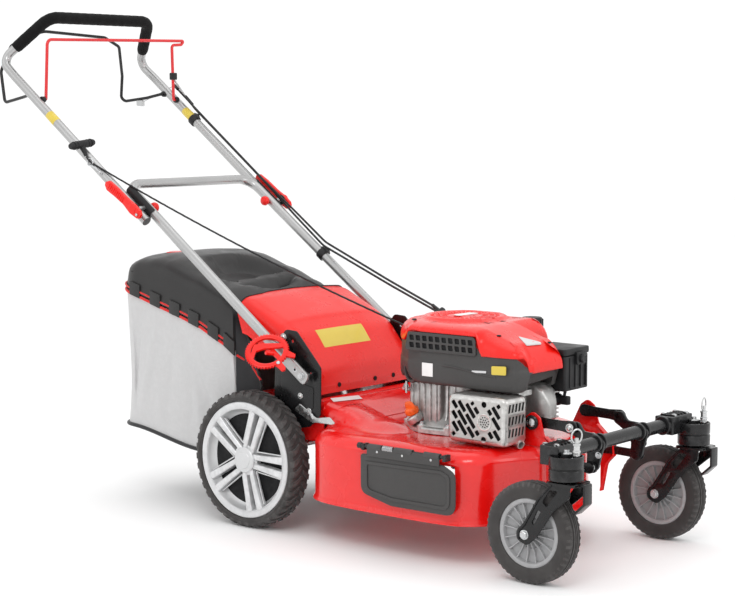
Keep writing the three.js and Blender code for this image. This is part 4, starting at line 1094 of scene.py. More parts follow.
both("cam_washer", lathe([(5.2, -246.8), (12, -246.8), (12, -244.6), (9, -243), (5.2, -243)], 28, "x", (0, *CAM)), BLK, "upper_handle", None, "black_plastic")
both("cam_ball_nut", join(turned([(0, 0), (7, 0), (10.6, 3), (12, 8), (10.8, 13), (6, 16.4), (0, 17)], 28, (-194.8, *CAM), (-178, *CAM)),
     *[prism([(*along(CAM, -9, -1.6), 0), (*along(CAM, 9, -1.6), 0), (*along(CAM, 9, 1.6), 0), (*along(CAM, -9, 1.6), 0)], -192, -181, "x", edge=0.8)]), REDP, "upper_handle", None, "red_plastic")

# toothed locking rings
RC, RN = Vector((-244, 311, 399)), Vector((-0.53, -0.50, 0.69)).normalized()
yA = Vector((0, S[0], S[1]))
yA = (yA - RN * yA.dot(RN)).normalized()
xA = yA.cross(RN).normalized()


def ring_pt(u, v, w):
    return RC + xA * u + yA * v + RN * w


rg = []
n, prof = 120, [(0.74, -3.4), (0.76, -3.8), (0.9, -3.8), (0.94, -3.2), (0.94, 3.2), (0.9, 3.8), (0.76, 3.8), (0.74, 3.4)]
rings = []
for i in range(n):
    a = 2 * math.pi * i / n
    rings.append([tuple(ring_pt(50 * f * math.cos(a), 44 * f * math.sin(a), w)) for f, w in prof])
rings.append(rings[0])
rg.append(loft(rings, False, False))
for i in range(44):
    a = 2 * math.pi * i / 44
    t, rr = Vector((-50 * math.sin(a), 44 * math.cos(a))).normalized(), Vector((math.cos(a), math.sin(a)))
    ring0, ring1 = [], []
    for u, v in ((-1, -1), (1, -1), (1, 1), (-1, 1)):
        b = Vector((50 * .93 * math.cos(a), 44 * .93 * math.sin(a))) + t * u * 1.25
        e = Vector((50 * math.cos(a), 44 * math.sin(a))) + t * u * 0.8
        ring0.append(tuple(ring_pt(b.x, b.y, v * 3.6)))
        ring1.append(tuple(ring_pt(e.x, e.y, v * 3.0)))
    rg.append(loft([ring0, ring1]))
# diagonal bridge, and two tails below
for pts in ([(-39, -2), (-20, 14), (-2, 9), (18, -3), (37, -13), (39, -4), (22, 9), (4, 22), (-14, 30), (-34, 14)], ):
    ring0 = [tuple(ring_pt(u, v, -3)) for u, v in rounded([(a, b, 4) for a, b in pts], 4)]
    ring1 = [tuple(ring_pt(u, v, 3)) for u, v in rounded([(a, b, 4) for a, b in pts], 4)]
    rg.append(loft([ring0, ring1]))
for pts in ([(-8, -36), (8, -37), (6, -58), (3, -63), (-5, -62)], [(22, -30), (36, -22), (44, -44), (38, -50), (29, -40)]):
    ring0 = [tuple(ring_pt(u, v, -2.6)) for u, v in rounded([(a, b, 3) for a, b in pts], 4)]
    ring1 = [tuple(ring_pt(u, v, 2.6)) for u, v in rounded([(a, b, 3) for a, b in pts], 4)]
    rg.append(loft([ring0, ring1]))
hp = lambda d: (-227, *along(FOLD, d))
rg += [rod(hp(60), hp(96), 5.5, 20), rod(hp(78), (-249, 311, 397), 5, 18)]
both("locking_ring", join(*rg), REDP, "ring_lock_{s}", "ring_lock_{s}", "red_plastic", smooth=38)
both("locking_ring_screw", hexbolt(tuple(ring_pt(0, -40, 3.6)), tuple(ring_pt(0, -40, 8)), 8, 2.4, dome=True), ZINC, "ring_lock_{s}", None, "zinc")

# bails
OB = [(-218.4, 1103, 960), (-213, 1103, 960, 5), (-203, 1150, 952, 14), (-196, 1232, 938, 12), (-188, 1254, 1015, 16), (-180, 1222, 1078, 20), (-140, 1150, 1112, 20), (62, 1150, 1102, 20), (112, 1152, 1080, 20), (165, 1200, 1007, 16), (192, 1236, 940, 12), (203, 1150, 950, 14), (213, 1103, 960, 5), (218.4, 1103, 960)]
DB = [(-218.4, 1059, 945), (-212, 1059, 945, 6), (-205, 1057, 1088, 14), (250, 1057, 1096, 8), (240, 1057, 1086, 5), (207, 1057, 1084, 8), (212, 1059, 945, 6), (218.4, 1059, 945)]
to_obj("stop_bail_wire", tube(densify(bend(OB), 30), 3.9, 18), POWDER, "opc_bail", "opc_bail", "steel_black", smooth=60)
to_obj("drive_bail_wire", tube(densify(bend(DB), 30), 3.9, 18), REDW, "drive_bail", "drive_bail", "red_wire", smooth=60)
for i, (y, z, b) in enumerate(((1103, 960, "stop"), (1059, 945, "drive"))):
    both(f"{b}_bail_bush", lathe([(4, -226), (7.6, -226), (7.6, -218), (6.4, -215.5), (4, -215.5)], 24, "x", (0, y, z)), BLK, "upper_handle", None, "black_plastic")
# cable brackets on the far tube, with clevises on the bails: zinc on the stop bail, black on the drive bail
to_obj("stop_bail_clevis", join(prism([(1160, 928, 3), (1182, 930, 3), (1182, 944, 3), (1160, 944, 3)], 196, 206, "x", edge=1.2)), ZINC, "opc_bail", (), "zinc")
to_obj("drive_bail_clevis", join(prism([(1050, 996, 3), (1066, 996, 3), (1066, 1014, 3), (1050, 1014, 3)], 205, 218, "x", edge=1.2)), BLK, "drive_bail", (), "black_plastic")
cl = [lathe([(11.2, -7), (14.4, -7), (15.4, -5.6), (15.4, 5.6), (14.4, 7), (11.2, 7)], 30, "z", (0, OY, 0))]


def on_tube(bm, x, y, z):
    """Sets a ring turned about Z at the origin round the sloping handle tube at (x, y, z)."""
    bm.transform(Matrix.Translation(P(x, y, z)) @ Vector((0, 0, 1)).rotation_difference(Vector((0, S[0], S[1]))).to_matrix().to_4x4())
    return bm


def band(x, y, z, r=11.2, w=7, t=3.2):
    return on_tube(lathe([(r, -w), (r + t - 1, -w), (r + t, -w + 1.4), (r + t, w - 1.4), (r + t - 1, w), (r, w)], 30, "z", (0, OY, 0)), x, y, z)


def tube_at(y, x0=229.6, p=(698, 666)):
    """Centre of the upper tube where it passes Y = y."""
    t = (y - 698) / (1150 - 698)
    return (229 + 2 * t, y, 666 + (1002.5 - 666) * t)


k1 = tube_at(1002)
to_obj("cable_clamp_upper", join(band(*k1, w=9), prism([(k1[1] - 8, k1[2] - 4, 2), (k1[1] + 14, k1[2] + 6, 2), (k1[1] + 16, k1[2] + 20, 3), (k1[1] - 2, k1[2] + 16, 3)], 234, 246, "x", edge=1)), BLK, "upper_handle", (), "black_plastic", smooth=40)
y, z = along(FOLD, 378)
to_obj("cable_clip_lower", join(band(207.6, y, z, w=9), prism([(y - 12, z - 2, 2), (y + 6, z + 8, 2), (y + 4, z + 20, 3), (y - 10, z + 12, 3)], 205, 222, "x", edge=1)), BLK, "lower_handle", (), "black_plastic", smooth=40)
# plain colour tags round the tubes
for nm, sx, y in (("right", -1, 1012), ("left", 1, 1022)):
    a = tube_at(y)
    to_obj("tube_tag_" + nm, band(sx * a[0], a[1], a[2], r=11.05, w=17, t=0.35), YELLOW, "upper_handle", (), None, smooth=40)

# starter rope grip and its guide
sg_a, sg_b = Vector((-285.1, 892, 836)), Vector((-208, 896, 845))


def grip_prof(n=17):
    out, L = [(0, 0)], (sg_b - sg_a).length
    for i in range(n):
        t = i / (n - 1)
        r = 8.2 + 1.6 * math.sin(math.pi * t) ** 2
        if i in (0, n - 1):
            r -= 1.8
        out.append((r, L * (0.012 + 0.976 * t)))
    out.append((0, L))
    return out


def bolt_ring(t):
    c = sg_a.lerp(sg_b, t)
    return turned([(8.6, -1.1), (10, -0.8), (10, 0.8), (8.6, 1.1)], 26, tuple(c), tuple(c + (sg_b - sg_a)))


stem = turned([(0, 0), (7.6, 0), (6.6, 10), (4.8, 20), (4.2, 27), (0, 27)], 22, (-248.5, 893, 838), (-248, 878, 812))
to_obj("starter_grip_handle", join(turned(grip_prof(), 28, tuple(sg_a), tuple(sg_b)), stem, *[bolt_ring(t) for t in (.16, .28, .72, .84)]), BLK, "starter_grip", "starter_grip", "black_plastic", smooth=42)
gd = [Vector((-246.8 + 0 * a, 868 + 8 * math.cos(a), 800 + 8 * math.sin(a))) for a in np.linspace(-1.9, 2 * math.pi - 1.2, 60)]
gd = [Vector((-247.5 + 5 * i / len(gd), p.y, p.z)) for i, p in enumerate(gd)]
gd = [Vector((-242.6, 838, 776)), Vector((-245, 850, 786))] + gd
to_obj("rope_guide_eye", join(tube(densify(gd, 4), 2.2, 12), rod((-242, 838, 775), (-229, 838, 769), 3.4, 16), hexbolt((-243, 838, 776), (-250, 838, 776), 8, 4)), ZINC, "upper_handle", "rope_guide", "zinc", smooth=60)

# rope: guide eye to the joint, then on to the recoil housing
RA, RB = Vector((-246, 868, 800)), Vector((-20, 96, 447))
RM = RA.lerp(RB, 0.19)


def sag(a, b, s, n=28):
    return [a.lerp(b, i / n) + Vector((0, 0, -4 * s * (i / n) * (1 - i / n))) for i in range(n + 1)]


def twist(pts, r):
    """Laid rope: two strands' worth of lobes turning along the run."""
    def sec(i, t):
        out = []
        for k in range(12):
            a = 2 * math.pi * k / 12
            rr = r * (0.90 + 0.10 * math.cos(3 * a + i * 1.3))
            out.append((rr * math.cos(a), rr * math.sin(a)))
        return out
    return sweep(pts, sec)


full_rope = sag(RA, RB, 14, 90)
cut_i = 17
r1, r2 = densify(full_rope[:cut_i + 1], 4), densify(full_rope[cut_i:], 4)
j = full_rope[cut_i]
to_obj("starter_rope_upper", twist(r1, 2.3), CABLE, ("lower_handle", "upper_handle", tuple(j), tuple(r1[0])), "starter_rope", "cable", smooth=60)
to_obj("starter_rope_lower", twist(r2, 2.3), CABLE, ("chassis", "lower_handle", tuple(RB), tuple(j)), (), "cable", smooth=60)
st = sag(Vector((-248, 878, 812)), RA, 0, 4)
to_obj("starter_rope_stub", tube(densify(st, 3), 2.2, 12), CABLE, ("upper_handle", "starter_grip", tuple(st[-1]), tuple(st[0])), (), "cable", smooth=60)
to_obj("rope_ferrule", join(turned([(0, 0), (9, 0), (9, 3), (6, 6), (4, 12), (2.6, 14), (0, 14)], 24, (-12, 80, 440), (-20, 96, 447))), BLK, "chassis", (), "black_plastic")

# control cables: along the far tubes, then free to the engine
def cable(name, pts, split_cam, split_low, node):
    run = densify(bend(pts, 5), 8)
    a = [q for q in run if q.y >= split_cam]
    b = [q for q in run if split_low <= q.y < split_cam]
    c = [q for q in run if q.y < split_low]
    b, c = [a[-1]] + b, [b[-1]] + c
    to_obj(name + "_upper", tube(a, 2.6, 14), CABLE, "upper_handle", node, "cable", smooth=60)
    to_obj(name + "_joint", tube(b, 2.6, 14), CABLE, ("lower_handle", "upper_handle", tuple(Vector((0, *along(CAM, -30)))), tuple(Vector((0, *along(CAM, 90))))), (), "cable", smooth=60)
    to_obj(name + "_lower", tube(c, 2.6, 14), CABLE, ("chassis", "lower_handle", tuple(c[-1]), tuple(c[0])), (), "cable", smooth=60)
    return run


DC = [(238, 1040, 952), (240, 1010, 922, 14), (240, 960, 884.5, 20), (240, 760, 735, 40), (212, 640, 662, 40), (209, 545, 592, 60), (160, 290, 512, 120), (110, 122, 470)]
OC = [(240, 1084, 982), (230, 1050, 963, 14), (229, 960, 895, 20), (229, 760, 745, 40), (218, 640, 668, 40), (217, 545, 600, 60), (172, 310, 524, 120), (118, 136, 480)]
cable("drive_cable_run", DC, 830, 560, "drive_cable")
cable("stop_cable_run", OC, 830, 560, "opc_cable")
# bare inner wires and springs up to the bails, and end fittings at the engine
to_obj("stop_inner_wire", tube(densify([Vector((240, 1084, 982)), Vector((206, 1165, 940))], 10), 1.0, 8), ZINC, ("upper_handle", "opc_bail", (240, 1084, 982), (206, 1165, 940)), (), "zinc", smooth=60)
hx = [Vector((238, 1040, 952)).lerp(Vector((213, 1060, 1000)), t) + Vector((2.6 * math.cos(t * 150), 2.6 * math.sin(t * 150), 0)) * min(1, 8 * t, 8 * (1 - t)) for t in np.linspace(0, 1, 240)]
to_obj("drive_inner_spring", tube(hx, 0.7, 6), ZINC, ("upper_handle", "drive_bail", (238, 1040, 952), (213, 1060, 1000)), (), "zinc", smooth=60)
to_obj("cable_end_sleeves", join(rod((111, 124.5, 471), (100, 96, 462), 4, 16), rod((119, 138.5, 481), (108, 108, 470), 4, 16)), BLK, "chassis", (), "black_plastic")
# bracket on the engine that holds both sleeve ends, and the inner wires running into the cover
to_obj("cable_bracket", join(prism([(70, 62, 2), (98, 40, 2), (116, 62, 6), (124, 106, 4), (88, 106, 4), (80, 82, 6)], 433, 436, "z", edge=0.6),
       prism([(88, 433, 2), (122, 433, 2), (122, 474, 8), (110, 480, 6), (92, 472, 8)], 103, 106, "y", edge=0.6),
       hexbolt((98, 74, 436), (98, 74, 441), 10, 4, 7)), POWDER, "chassis", (), "steel_black", smooth=35)
to_obj("cable_inner_wires", join(rod((101, 98, 462.6), (89, 60, 449), 1.6, 10), rod((109, 110, 470.8), (95, 57, 450), 1.6, 10)), ZINC, "chassis", (), "zinc", smooth=60)
to_obj("cable_top_sleeves", join(rod((240, 1018, 932), (238, 1042, 954), 4.2, 16), rod((234, 1064, 972), (240, 1086, 984), 4.2, 16)), BLK, "upper_handle", (), "black_plastic")

# --------------------------------------------------------------- rear flap
def path_points(pts, step=6, per=8):
    """Rounded open path through [a, b, radius] points, as evenly stepped (a, b)."""
    out = []
    for i, p in enumerate(pts):
        x, y, r = (tuple(p) + (0,))[:3]
        if not r or i in (0, len(pts) - 1):
            out.append(Vector((x, y)))
            continue
        c = Vector((x, y))
        a, b = Vector(pts[i - 1][:2]) - c, Vector(pts[i + 1][:2]) - c
        la, lb = a.length, b.length
        a.normalize(), b.normalize()
        half = math.acos(max(-1, min(1, a.dot(b)))) / 2
        d = min(r / math.tan(half), la * .49, lb * .49)
        for k in range(per + 1):
            t = k / per
            out.append((c + a * d) * (1 - t) ** 2 + c * 2 * t * (1 - t) + (c + b * d) * t ** 2)
    return densify(out, step)


FP = path_points([(231, 301), (230, 318, 10), (238, 352, 60), (296, 424, 90), (336, 452, 60), (432, 497, 60), (452, 501)], 6)


def flap_point(i, x, lift=0.0):
    """Point of the flap's outer face at path station i and across x."""
    p = FP[i]
    t = (FP[min(i + 1, len(FP) - 1)] - FP[max(i - 1, 0)]).normalized()
    n = Vector((-t.y, t.x))
    if n.y < 0 and i > 5:
        n = -n
    if i <= 5 and n.x > 0:
        n = -n
    f = i / (len(FP) - 1)
    crown = (9 * smooth01((f - .25) / .5)) * (1 - (x / 184) ** 2)
    e = max(0.0, abs(x) - 152) / 32
    drop = 30 * smooth01((f - .1) / .3) * (1 - math.sqrt(max(0, 1 - min(1, e) ** 2))) + 8 * (1 - smooth01((f - .1) / .3)) * (1 - math.sqrt(max(0, 1 - min(1, e) ** 2)))
    q = p + n * (crown - drop + lift)
    back = 8 * smooth01((f - .8) / .2) * (smooth01((118 - abs(x)) / 40))
    return Vector((x, q.x + back, q.y))


xs = [-184, -183.6, -182.4, -180, -176, -170, -162, -152] + list(np.linspace(-140, 140, 29)) + [152, 162, 170, 176, 180, 182.4, 183.6, 184]
fr = [[tuple(flap_point(i, x)) for x in xs] for i in range(len(FP))]
for i, row in enumerate(fr):        # cheeks that hang below the rounded edge
    f = i / (len(FP) - 1)
    for s_, ins in ((0, 0), (-1, len(row))):
        x, y, z = row[s_]
        low_z = max(304, z - 18 - 30 * smooth01(f / .5))
        extra = [(x, y - (y - 300) * 0.10 * k / 4, z + (low_z - z) * k / 4) for k in range(1, 5)]
        if s_ == 0:
            row[0:0] = list(reversed(extra))
        else:
            row.extend(extra)
flapm = loft(fr, False, False, closed=False)
if sum(f.normal.z for f in flapm.faces if abs(f.normal.z) > .5) < 0:
    bmesh.ops.reverse_faces(flapm, faces=flapm.faces)
to_obj("rear_flap_moulding", flapm, REDP, "rear_flap", "rear_flap", "red_plastic", smooth=50, solid=2.6)
to_obj("rear_flap_pin", join(rod((-185.5, *FLAPP), (185.5, *FLAPP), 3.6, 18)), POWDER, "rear_flap", (), "steel_black")
hs = [Vector((x_, FLAPP[0] + 6 * math.cos(a), FLAPP[1] + 6 * math.sin(a))) for a, x_ in zip(np.linspace(0, 75, 320), np.linspace(-60, -20, 320))]
to_obj("rear_flap_spring", tube(hs, 0.9, 6), POWDER, "rear_flap", (), "steel_black", smooth=60)
edge_run = [flap_point(len(FP) - 1, x, 0.4) for x in np.linspace(-176, 176, 70)]
to_obj("rear_flap_lip", tube(edge_run, 2.0, 10), BLK, "rear_flap", (), "black_plastic", smooth=60)


def flap_patch(i0, i1, x0, x1, lift, n=9):
    rows = []
    for k in range(n):
        fi = i0 + (i1 - i0) * k / (n - 1)
        a, b = int(fi), min(int(fi) + 1, len(FP) - 1)
        rows.append([tuple(flap_point(a, x, lift).lerp(flap_point(b, x, lift), fi - a)) for x in np.linspace(x0, x1, 13)])
    bm = loft(rows, False, False, closed=False)
    return bm


def station_at_z(z):
    return min(range(len(FP)), key=lambda i: abs(FP[i].y - z))


to_obj("flap_patch", flap_patch(station_at_z(397), station_at_z(429), -98, 60, 0.35), YELLOW, "rear_flap", (), None, smooth=60, solid=0.3)
plug = []
for x in (-99, 25, 90):
    c = flap_point(3, x, 0.2)
    plug.append(turned([(0, 0), (5.2, 0), (5.2, 1.2), (4, 2), (2.6, 1.4), (0, 1.2)], 22, tuple(c), (c.x, c.y - 10, c.z + 0.6)))
to_obj("flap_plugs", join(*plug), DARK_AND_SHADE, "rear_flap", (), "black_plastic")

# --------------------------------------------------------------- grass bag
def bag_outline(w, y0, y1, rr, rf=10, n_side=64, n_arc=10, n_rear=48, n_front=16):
    """Plan outline of the bag from the front right corner, back, round the rear and forward again."""
    out = []
    for k in range(n_side):
        out.append((-w, y0 + rf + (y1 - rr - y0 - rf) * k / (n_side - 1), 's'))
    for k in range(1, n_arc):
        a = math.pi / 2 * k / n_arc
        out.append((-w + rr - rr * math.cos(a), y1 - rr + rr * math.sin(a), 'r'))
    for k in range(n_rear):
        out.append((-w + rr + (2 * w - 2 * rr) * k / (n_rear - 1), y1, 'r'))
    m = [(-x, y, t) for x, y, t in reversed(out[:n_side + n_arc - 1])]
    out += m
    for k in range(1, n_front):
        out.append((w - 2 * w * k / n_front, y0, 'f'))
    return out


PIPE = [(378, 300), (430, 357), (492, 396), (571, 431), (640, 452), (701, 468), (780, 490), (846, 508)]


def pipe_z(y):
    if y <= PIPE[0][0]:
        return PIPE[0][1]
    for (a, b), (c, d) in zip(PIPE, PIPE[1:]):
        if y <= c:
            return b + (d - b) * (y - a) / (c - a)
    return PIPE[-1][1]


def bottom_z(y):
    return 141 + 36 * smooth01((y - 560) / 260)


random.seed(11)
wr = [(random.uniform(470, 840), random.uniform(0.1, 0.9), random.uniform(8, 20), random.uniform(-2.2, 2.2), random.uniform(-.6, .6)) for _ in range(26)]
nv = 44
rings = []
for j in range(nv + 1):
    t = j / nv
    pull = math.sin(math.pi * t) ** 0.8
    ring = []
    for i, (x, y, kind) in enumerate(bag_outline(187.5, 461, 842, 46)):
        z0, z1 = bottom_z(y), pipe_z(y)
        z = z0 + (z1 - z0) * t
        side = math.copysign(1, x)
        # tensioned cloth draws in between its frame wires, with soft creases running from the corners
        d = 5.0 * pull
        if kind == 's':
            s1 = (y - 461) / 381
            d += 3.0 * math.sin(6 * s1 + 4.0 * t + side) * pull
            d += 6.0 * math.exp(-((y - 815 + 50 * t) / 13) ** 2) * pull - 4.5 * math.exp(-((y - 785 + 80 * t) / 12) ** 2) * pull + 4.5 * math.exp(-((y - 500 - 150 * t) / 20) ** 2) * pull
            for wy, wt, ww, wa, ws in wr:
                d += wa * math.exp(-((y - wy - ws * 120 * (t - wt)) / ww) ** 2) * math.exp(-((t - wt) / .22) ** 2) * 1.5
            x = x - side * d
        elif kind == 'r':
            c = Vector((x, y - 800))
            y = y - d * (0.9 + 0.45 * math.sin(x / 30 + 4 * t) + 0.25 * math.sin(x / 11 - 7 * t))
            x = x - side * d * min(1, abs(x) / 190) ** 3
        ring.append((x, y, z))
    rings.append(ring)
fab = loft(rings, False, False)
# floor of the bag
base = [rings[0]]
for f in (.1, .25, .45, .7, .9):
    base.append([(x * (1 - f), 651 + (y - 651) * (1 - f), z - 6 * math.sin(math.pi * min(1, f)) * 0 + 3 * f) for x, y, z in rings[0]])
flo = loft(base, False, True)
for f in [f for f in fab.faces if f.calc_center_median().y * 1000 + OY < 462]:
    pass
mouth_faces = [f for f in fab.faces if (f.calc_center_median().y * 1000 + OY) < 461.6 and abs(f.calc_center_median().x) < 0.166]
bmesh.ops.delete(fab, geom=mouth_faces, context="FACES")
bagcloth = to_obj("bag_fabric_panels", join(fab), FABRIC, "grass_bag", "bag_body", "fabric", smooth=60)
bagbase = to_obj("bag_fabric_base", join(flo), WEBBING, "grass_bag", (), "fabric", smooth=60)


def area_of(o):
    return sum(p.area for p in o.data.polygons)


# steel mouth frame and the short collar behind it
mf = [(-171, 404, 165), (171, 404, 165), (171, 397, 305), (171, 428, 399), (171, 457, 446), (171, 460, 476), (-171, 460, 476), (-171, 457, 446), (-171, 428, 399), (-171, 397, 305)]
closed_path = []
for a, b in zip(mf, mf[1:] + mf[:1]):
    closed_path += [Vector(a).lerp(Vector(b), k / 8) for k in range(8)]
to_obj("bag_mouth_wire", tube(closed_path, 3.6, 12, closed=True), POWDER, "grass_bag", (), "steel_black", smooth=60)
mo = []
for q in closed_path:
    x = math.copysign(min(187, abs(q.x) * 1.09), q.x)
    mo.append((x, 461, max(150, min(pipe_z(461) + 116, q.z))))
col = [[tuple(q) for q in closed_path]]
for f in (.33, .66, 1):
    col.append([tuple(q.lerp(Vector(m), f)) for q, m in zip(closed_path, mo)])
collar = to_obj("bag_collar", loft(col, False, False), WEBBING, "grass_bag", (), "fabric", smooth=50)

# piping, twice round, and the black binding of the base
def bag_line(off, dz, w=187.5, y1=842):
    pts = []
    for x, y, kind in bag_outline(w, 461, y1, 46):
        if kind != 'f':
            pts.append(Vector((x + math.copysign(off, x) * (1 if abs(x) > 120 else 0), y + (off if kind == 'r' else 0), pipe_z(y) + dz)))
    return pts


to_obj("bag_piping_lower", tube(bag_line(1.2, -3), 3.2, 12), PIPING, "grass_bag", (), "red_plastic", smooth=60)
to_obj("bag_piping_upper", tube(bag_line(1.8, 9), 2.2, 10), PIPING, "grass_bag", (), "red_plastic", smooth=60)
front_pipe = [Vector((-172.5, y, pipe_z(y) - 2)) for y in range(398, 462, 6)]
for s_, nm in ((1, "right"), (-1, "left")):
    to_obj("bag_piping_front_" + nm, tube([Vector((q.x * s_ - s_ * 14 * smooth01((q.y - 430) / 30), q.y, q.z)) for q in front_pipe], 2.6, 10), PIPING, "grass_bag", (), "red_plastic", smooth=60)
bb = [Vector((x + math.copysign(1.2, x), y + (1 if kind == 'r' else 0), bottom_z(y) + 2)) for x, y, kind in bag_outline(187.5, 461, 842, 46)]
to_obj("bag_base_binding", tube(bb, 4.6, 12, closed=True), WEBBING, "grass_bag", (), "black_plastic", smooth=60)

# moulded cover
TOPZ = [(455, 474), (470, 492), (520, 520), (600, 548), (700, 577), (740, 582), (790, 580), (820, 572), (846, 556)]


def top_z(y):
    for (a, b), (c, d) in zip(TOPZ, TOPZ[1:]):
        if y <= c:
            return b + (d - b) * smooth01((y - a) / (c - a)) * .5 + (d - b) * max(0, min(1, (y - a) / (c - a))) * .5
    return TOPZ[-1][1]


def cover_top(x, y):
    z = top_z(y) + 2 - 20 * (x / 188) ** 4
    # long hand recess with a raised bar in it
    u, v = (x + 4) / 118, (y - 590) / 92
    r = math.hypot(u, v)
    z -= 34 * smooth01((1.05 - r) / .28)
    z += 24 * smooth01((1 - abs((y - 560 - 0.10 * x) / 20)) * 2) * smooth01((1.0 - r) / .2) * smooth01((130 - abs(x)) / 30)
    return z


ol = bag_outline(189, 458, 846, 58)
cv = []
for dz, off in ((0, -4), (1, 0), (3, 1.5), (7, 1.5), (9, 0), (16, -0.5)):
    cv.append([(x * (188.5 + off) / 189, 640 + (y - 640) * (1 + off / 210), pipe_z(y) + 2 + dz) for x, y, k in ol])
for f, ins in ((.45, 2.5), (.72, 5), (.86, 9), (.94, 15), (.985, 24)):
    ring = []
    for x, y, k in ol:
        xx, yy = x * (188.5 - ins) / 189, 640 + (y - 640) * (1 - ins / 210)
        zb, zt = pipe_z(y) + 18, cover_top(xx, yy)
        ring.append((xx, yy, zb + (zt - zb) * f))
    cv.append(ring)
for f in (.18, .23, .28, .33, .38, .43, .48, .53, .58, .63, .68, .73, .78, .84, .9, .96):
    ring = []
    for x, y, k in ol:
        xx, yy = x * (1 - f), 640 + (y - 640) * (1 - f)
        ring.append((xx, yy, cover_top(xx, yy)))
    cv.append(ring)
cvm = loft(cv, False, True)
if sum(f.normal.z for f in cvm.faces if f.calc_center_median().z > .55) < 0:
    bmesh.ops.reverse_faces(cvm, faces=cvm.faces)
to_obj("bag_cover_moulding", cvm, COVER, "grass_bag", "bag_cover", "black_plastic", smooth=50, solid=2.2)
# clips along the edge that hook over the piping
clips = []
for y in (478, 528, 590, 652, 716, 784):
    z = pipe_z(y)
    sl = (pipe_z(y + 10) - pipe_z(y - 10)) / 20
    clips.append(prism([(y - 17, z - 6 - 17 * sl, 2), (y + 17, z - 6 + 17 * sl, 2), (y + 17, z + 26 + 17 * sl, 3), (y - 17, z + 26 - 17 * sl, 3)], -192.4, -188.2, "x", edge=1))
both("bag_cover_clips", join(*clips), COVER, "grass_bag", None, "black_plastic", smooth=40)
# ridge lines down the cover's sides
for s_, nm in ((-1, "right"), (1, "left")):
    to_obj("bag_cover_ridge_" + nm, tube([Vector((s_ * 182.5, y, pipe_z(y) + 18 + (cover_top(s_ * 182, y) - pipe_z(y) - 18) * .62)) for y in range(480, 812, 12)], 1.6, 8), COVER, "grass_bag", (), "black_plastic", smooth=60)
ind = prism([(-92, 778), (-55, 752), (-18, 778), (-55, 800)], 580.5, 583.2, "z", edge=0.8)
to_obj("bag_indicator_vane", ind, REDP, "bag_indicator", "bag_indicator", "red_plastic")
to_obj("bag_indicator_frame", prism([(-100, 778, 3), (-55, 745, 3), (-10, 778, 3), (-55, 806, 3)], 578, 581.6, "z", holes=[[(-93, 778, 1), (-55, 751, 1), (-17, 778, 1), (-55, 801, 1)]], edge=0.8), COVER, "grass_bag", (), "black_plastic")

# --------------------------------------------------------------- engine
SL = [(0, 92, 30), (-62, 86, 30), (-108, 46, 30), (-140, 4, 30), (-152, -40, 20), (-153, -236, 20), (-146, -282, 18), (-104, -297, 14), (0, -299, 6), (4, -200, 8), (96, -196, 16), (146, -130, 40), (150, -20, 40), (108, 50, 40), (60, 86, 30)]
_o = rounded(SL, 8)
_o = [Vector(q) for q in _o]
_d = densify(_o + [_o[0]], 7)[:-1]


def inset_ring(k):
    """Shroud outline pulled towards the crank axis by about k."""
    out = []
    n = len(_d)
    for i, p in enumerate(_d):
        t = (_d[(i + 2) % n] - _d[i - 2]).normalized()
        nn = Vector((-t.y, t.x))
        c = Vector((0, ENG_Y if p.y > -150 else min(ENG_Y, p.y + 90))) - p
        if nn.dot(c) < 0:
            nn = -nn
        out.append(p + nn * k)
    return out


def red_low(x, y):
    """Lower edge of the red cover round the shroud."""
    z = 421
    if y < -270:
        z = 421 - 32 * smooth01((x + 124) / 9)
    if y > -196 and x < 0:
        z = 421 + 39 * smooth01((y + 196) / 10) - 26 * smooth01((y + 8) / 44)
    if x > 0 and y > -190:
        z = 432
    return z


def red_top(x, y):
    z = 477 - 30 * smooth01((-158 - y) / 120) - 12 * smooth01((-262 - y) / 36)
    z -= 10 * smooth01((x - 70) / 70)
    return z


def cover_z(x, y):
    r = math.hypot(x, y - ENG_Y)
    return red_top(x, y) + 6.5 * smooth01((96 - r) / 12) - 2.2 * smooth01((80 - r) / 6) + 2.0 * smooth01((34 - r) / 8)


shr = []
for z, k in ((356, 16), (352, 12), (351, 7), (353, 3), (358, 0.8), (366, 0), (380, 0), (392, 0.2), (395, 1.2), (398, 2.2), (401, 2.4), (424, 3.2), (430, 3.6), (434, 4.6)):
    ring = []
    for p, q in zip(_d, inset_ring(k)):
        zz = z
        if z > 398:
            top = min(468, red_low(p.x, p.y) + 3)
            zz = 401 + (z - 401) * (top - 401) / 33
        # lower edge arches up at the rear corner over the air inlet
        if z < 370:
            a = math.exp(-((p.x + 128) / 26) ** 2 - ((p.y - 22) / 26) ** 2)
            zz += 22 * a
        if q.y < -276 and z < 392:
            zz = zz + (392 - zz) * smooth01((-276 - q.y) / 14) * smooth01((q.x + 122) / 12)
        ring.append((q.x, q.y, zz))
    shr.append(ring)
to_obj("engine_shroud", loft(shr, True, True), GREY, "chassis", "shroud", "grey_plastic", smooth=40)

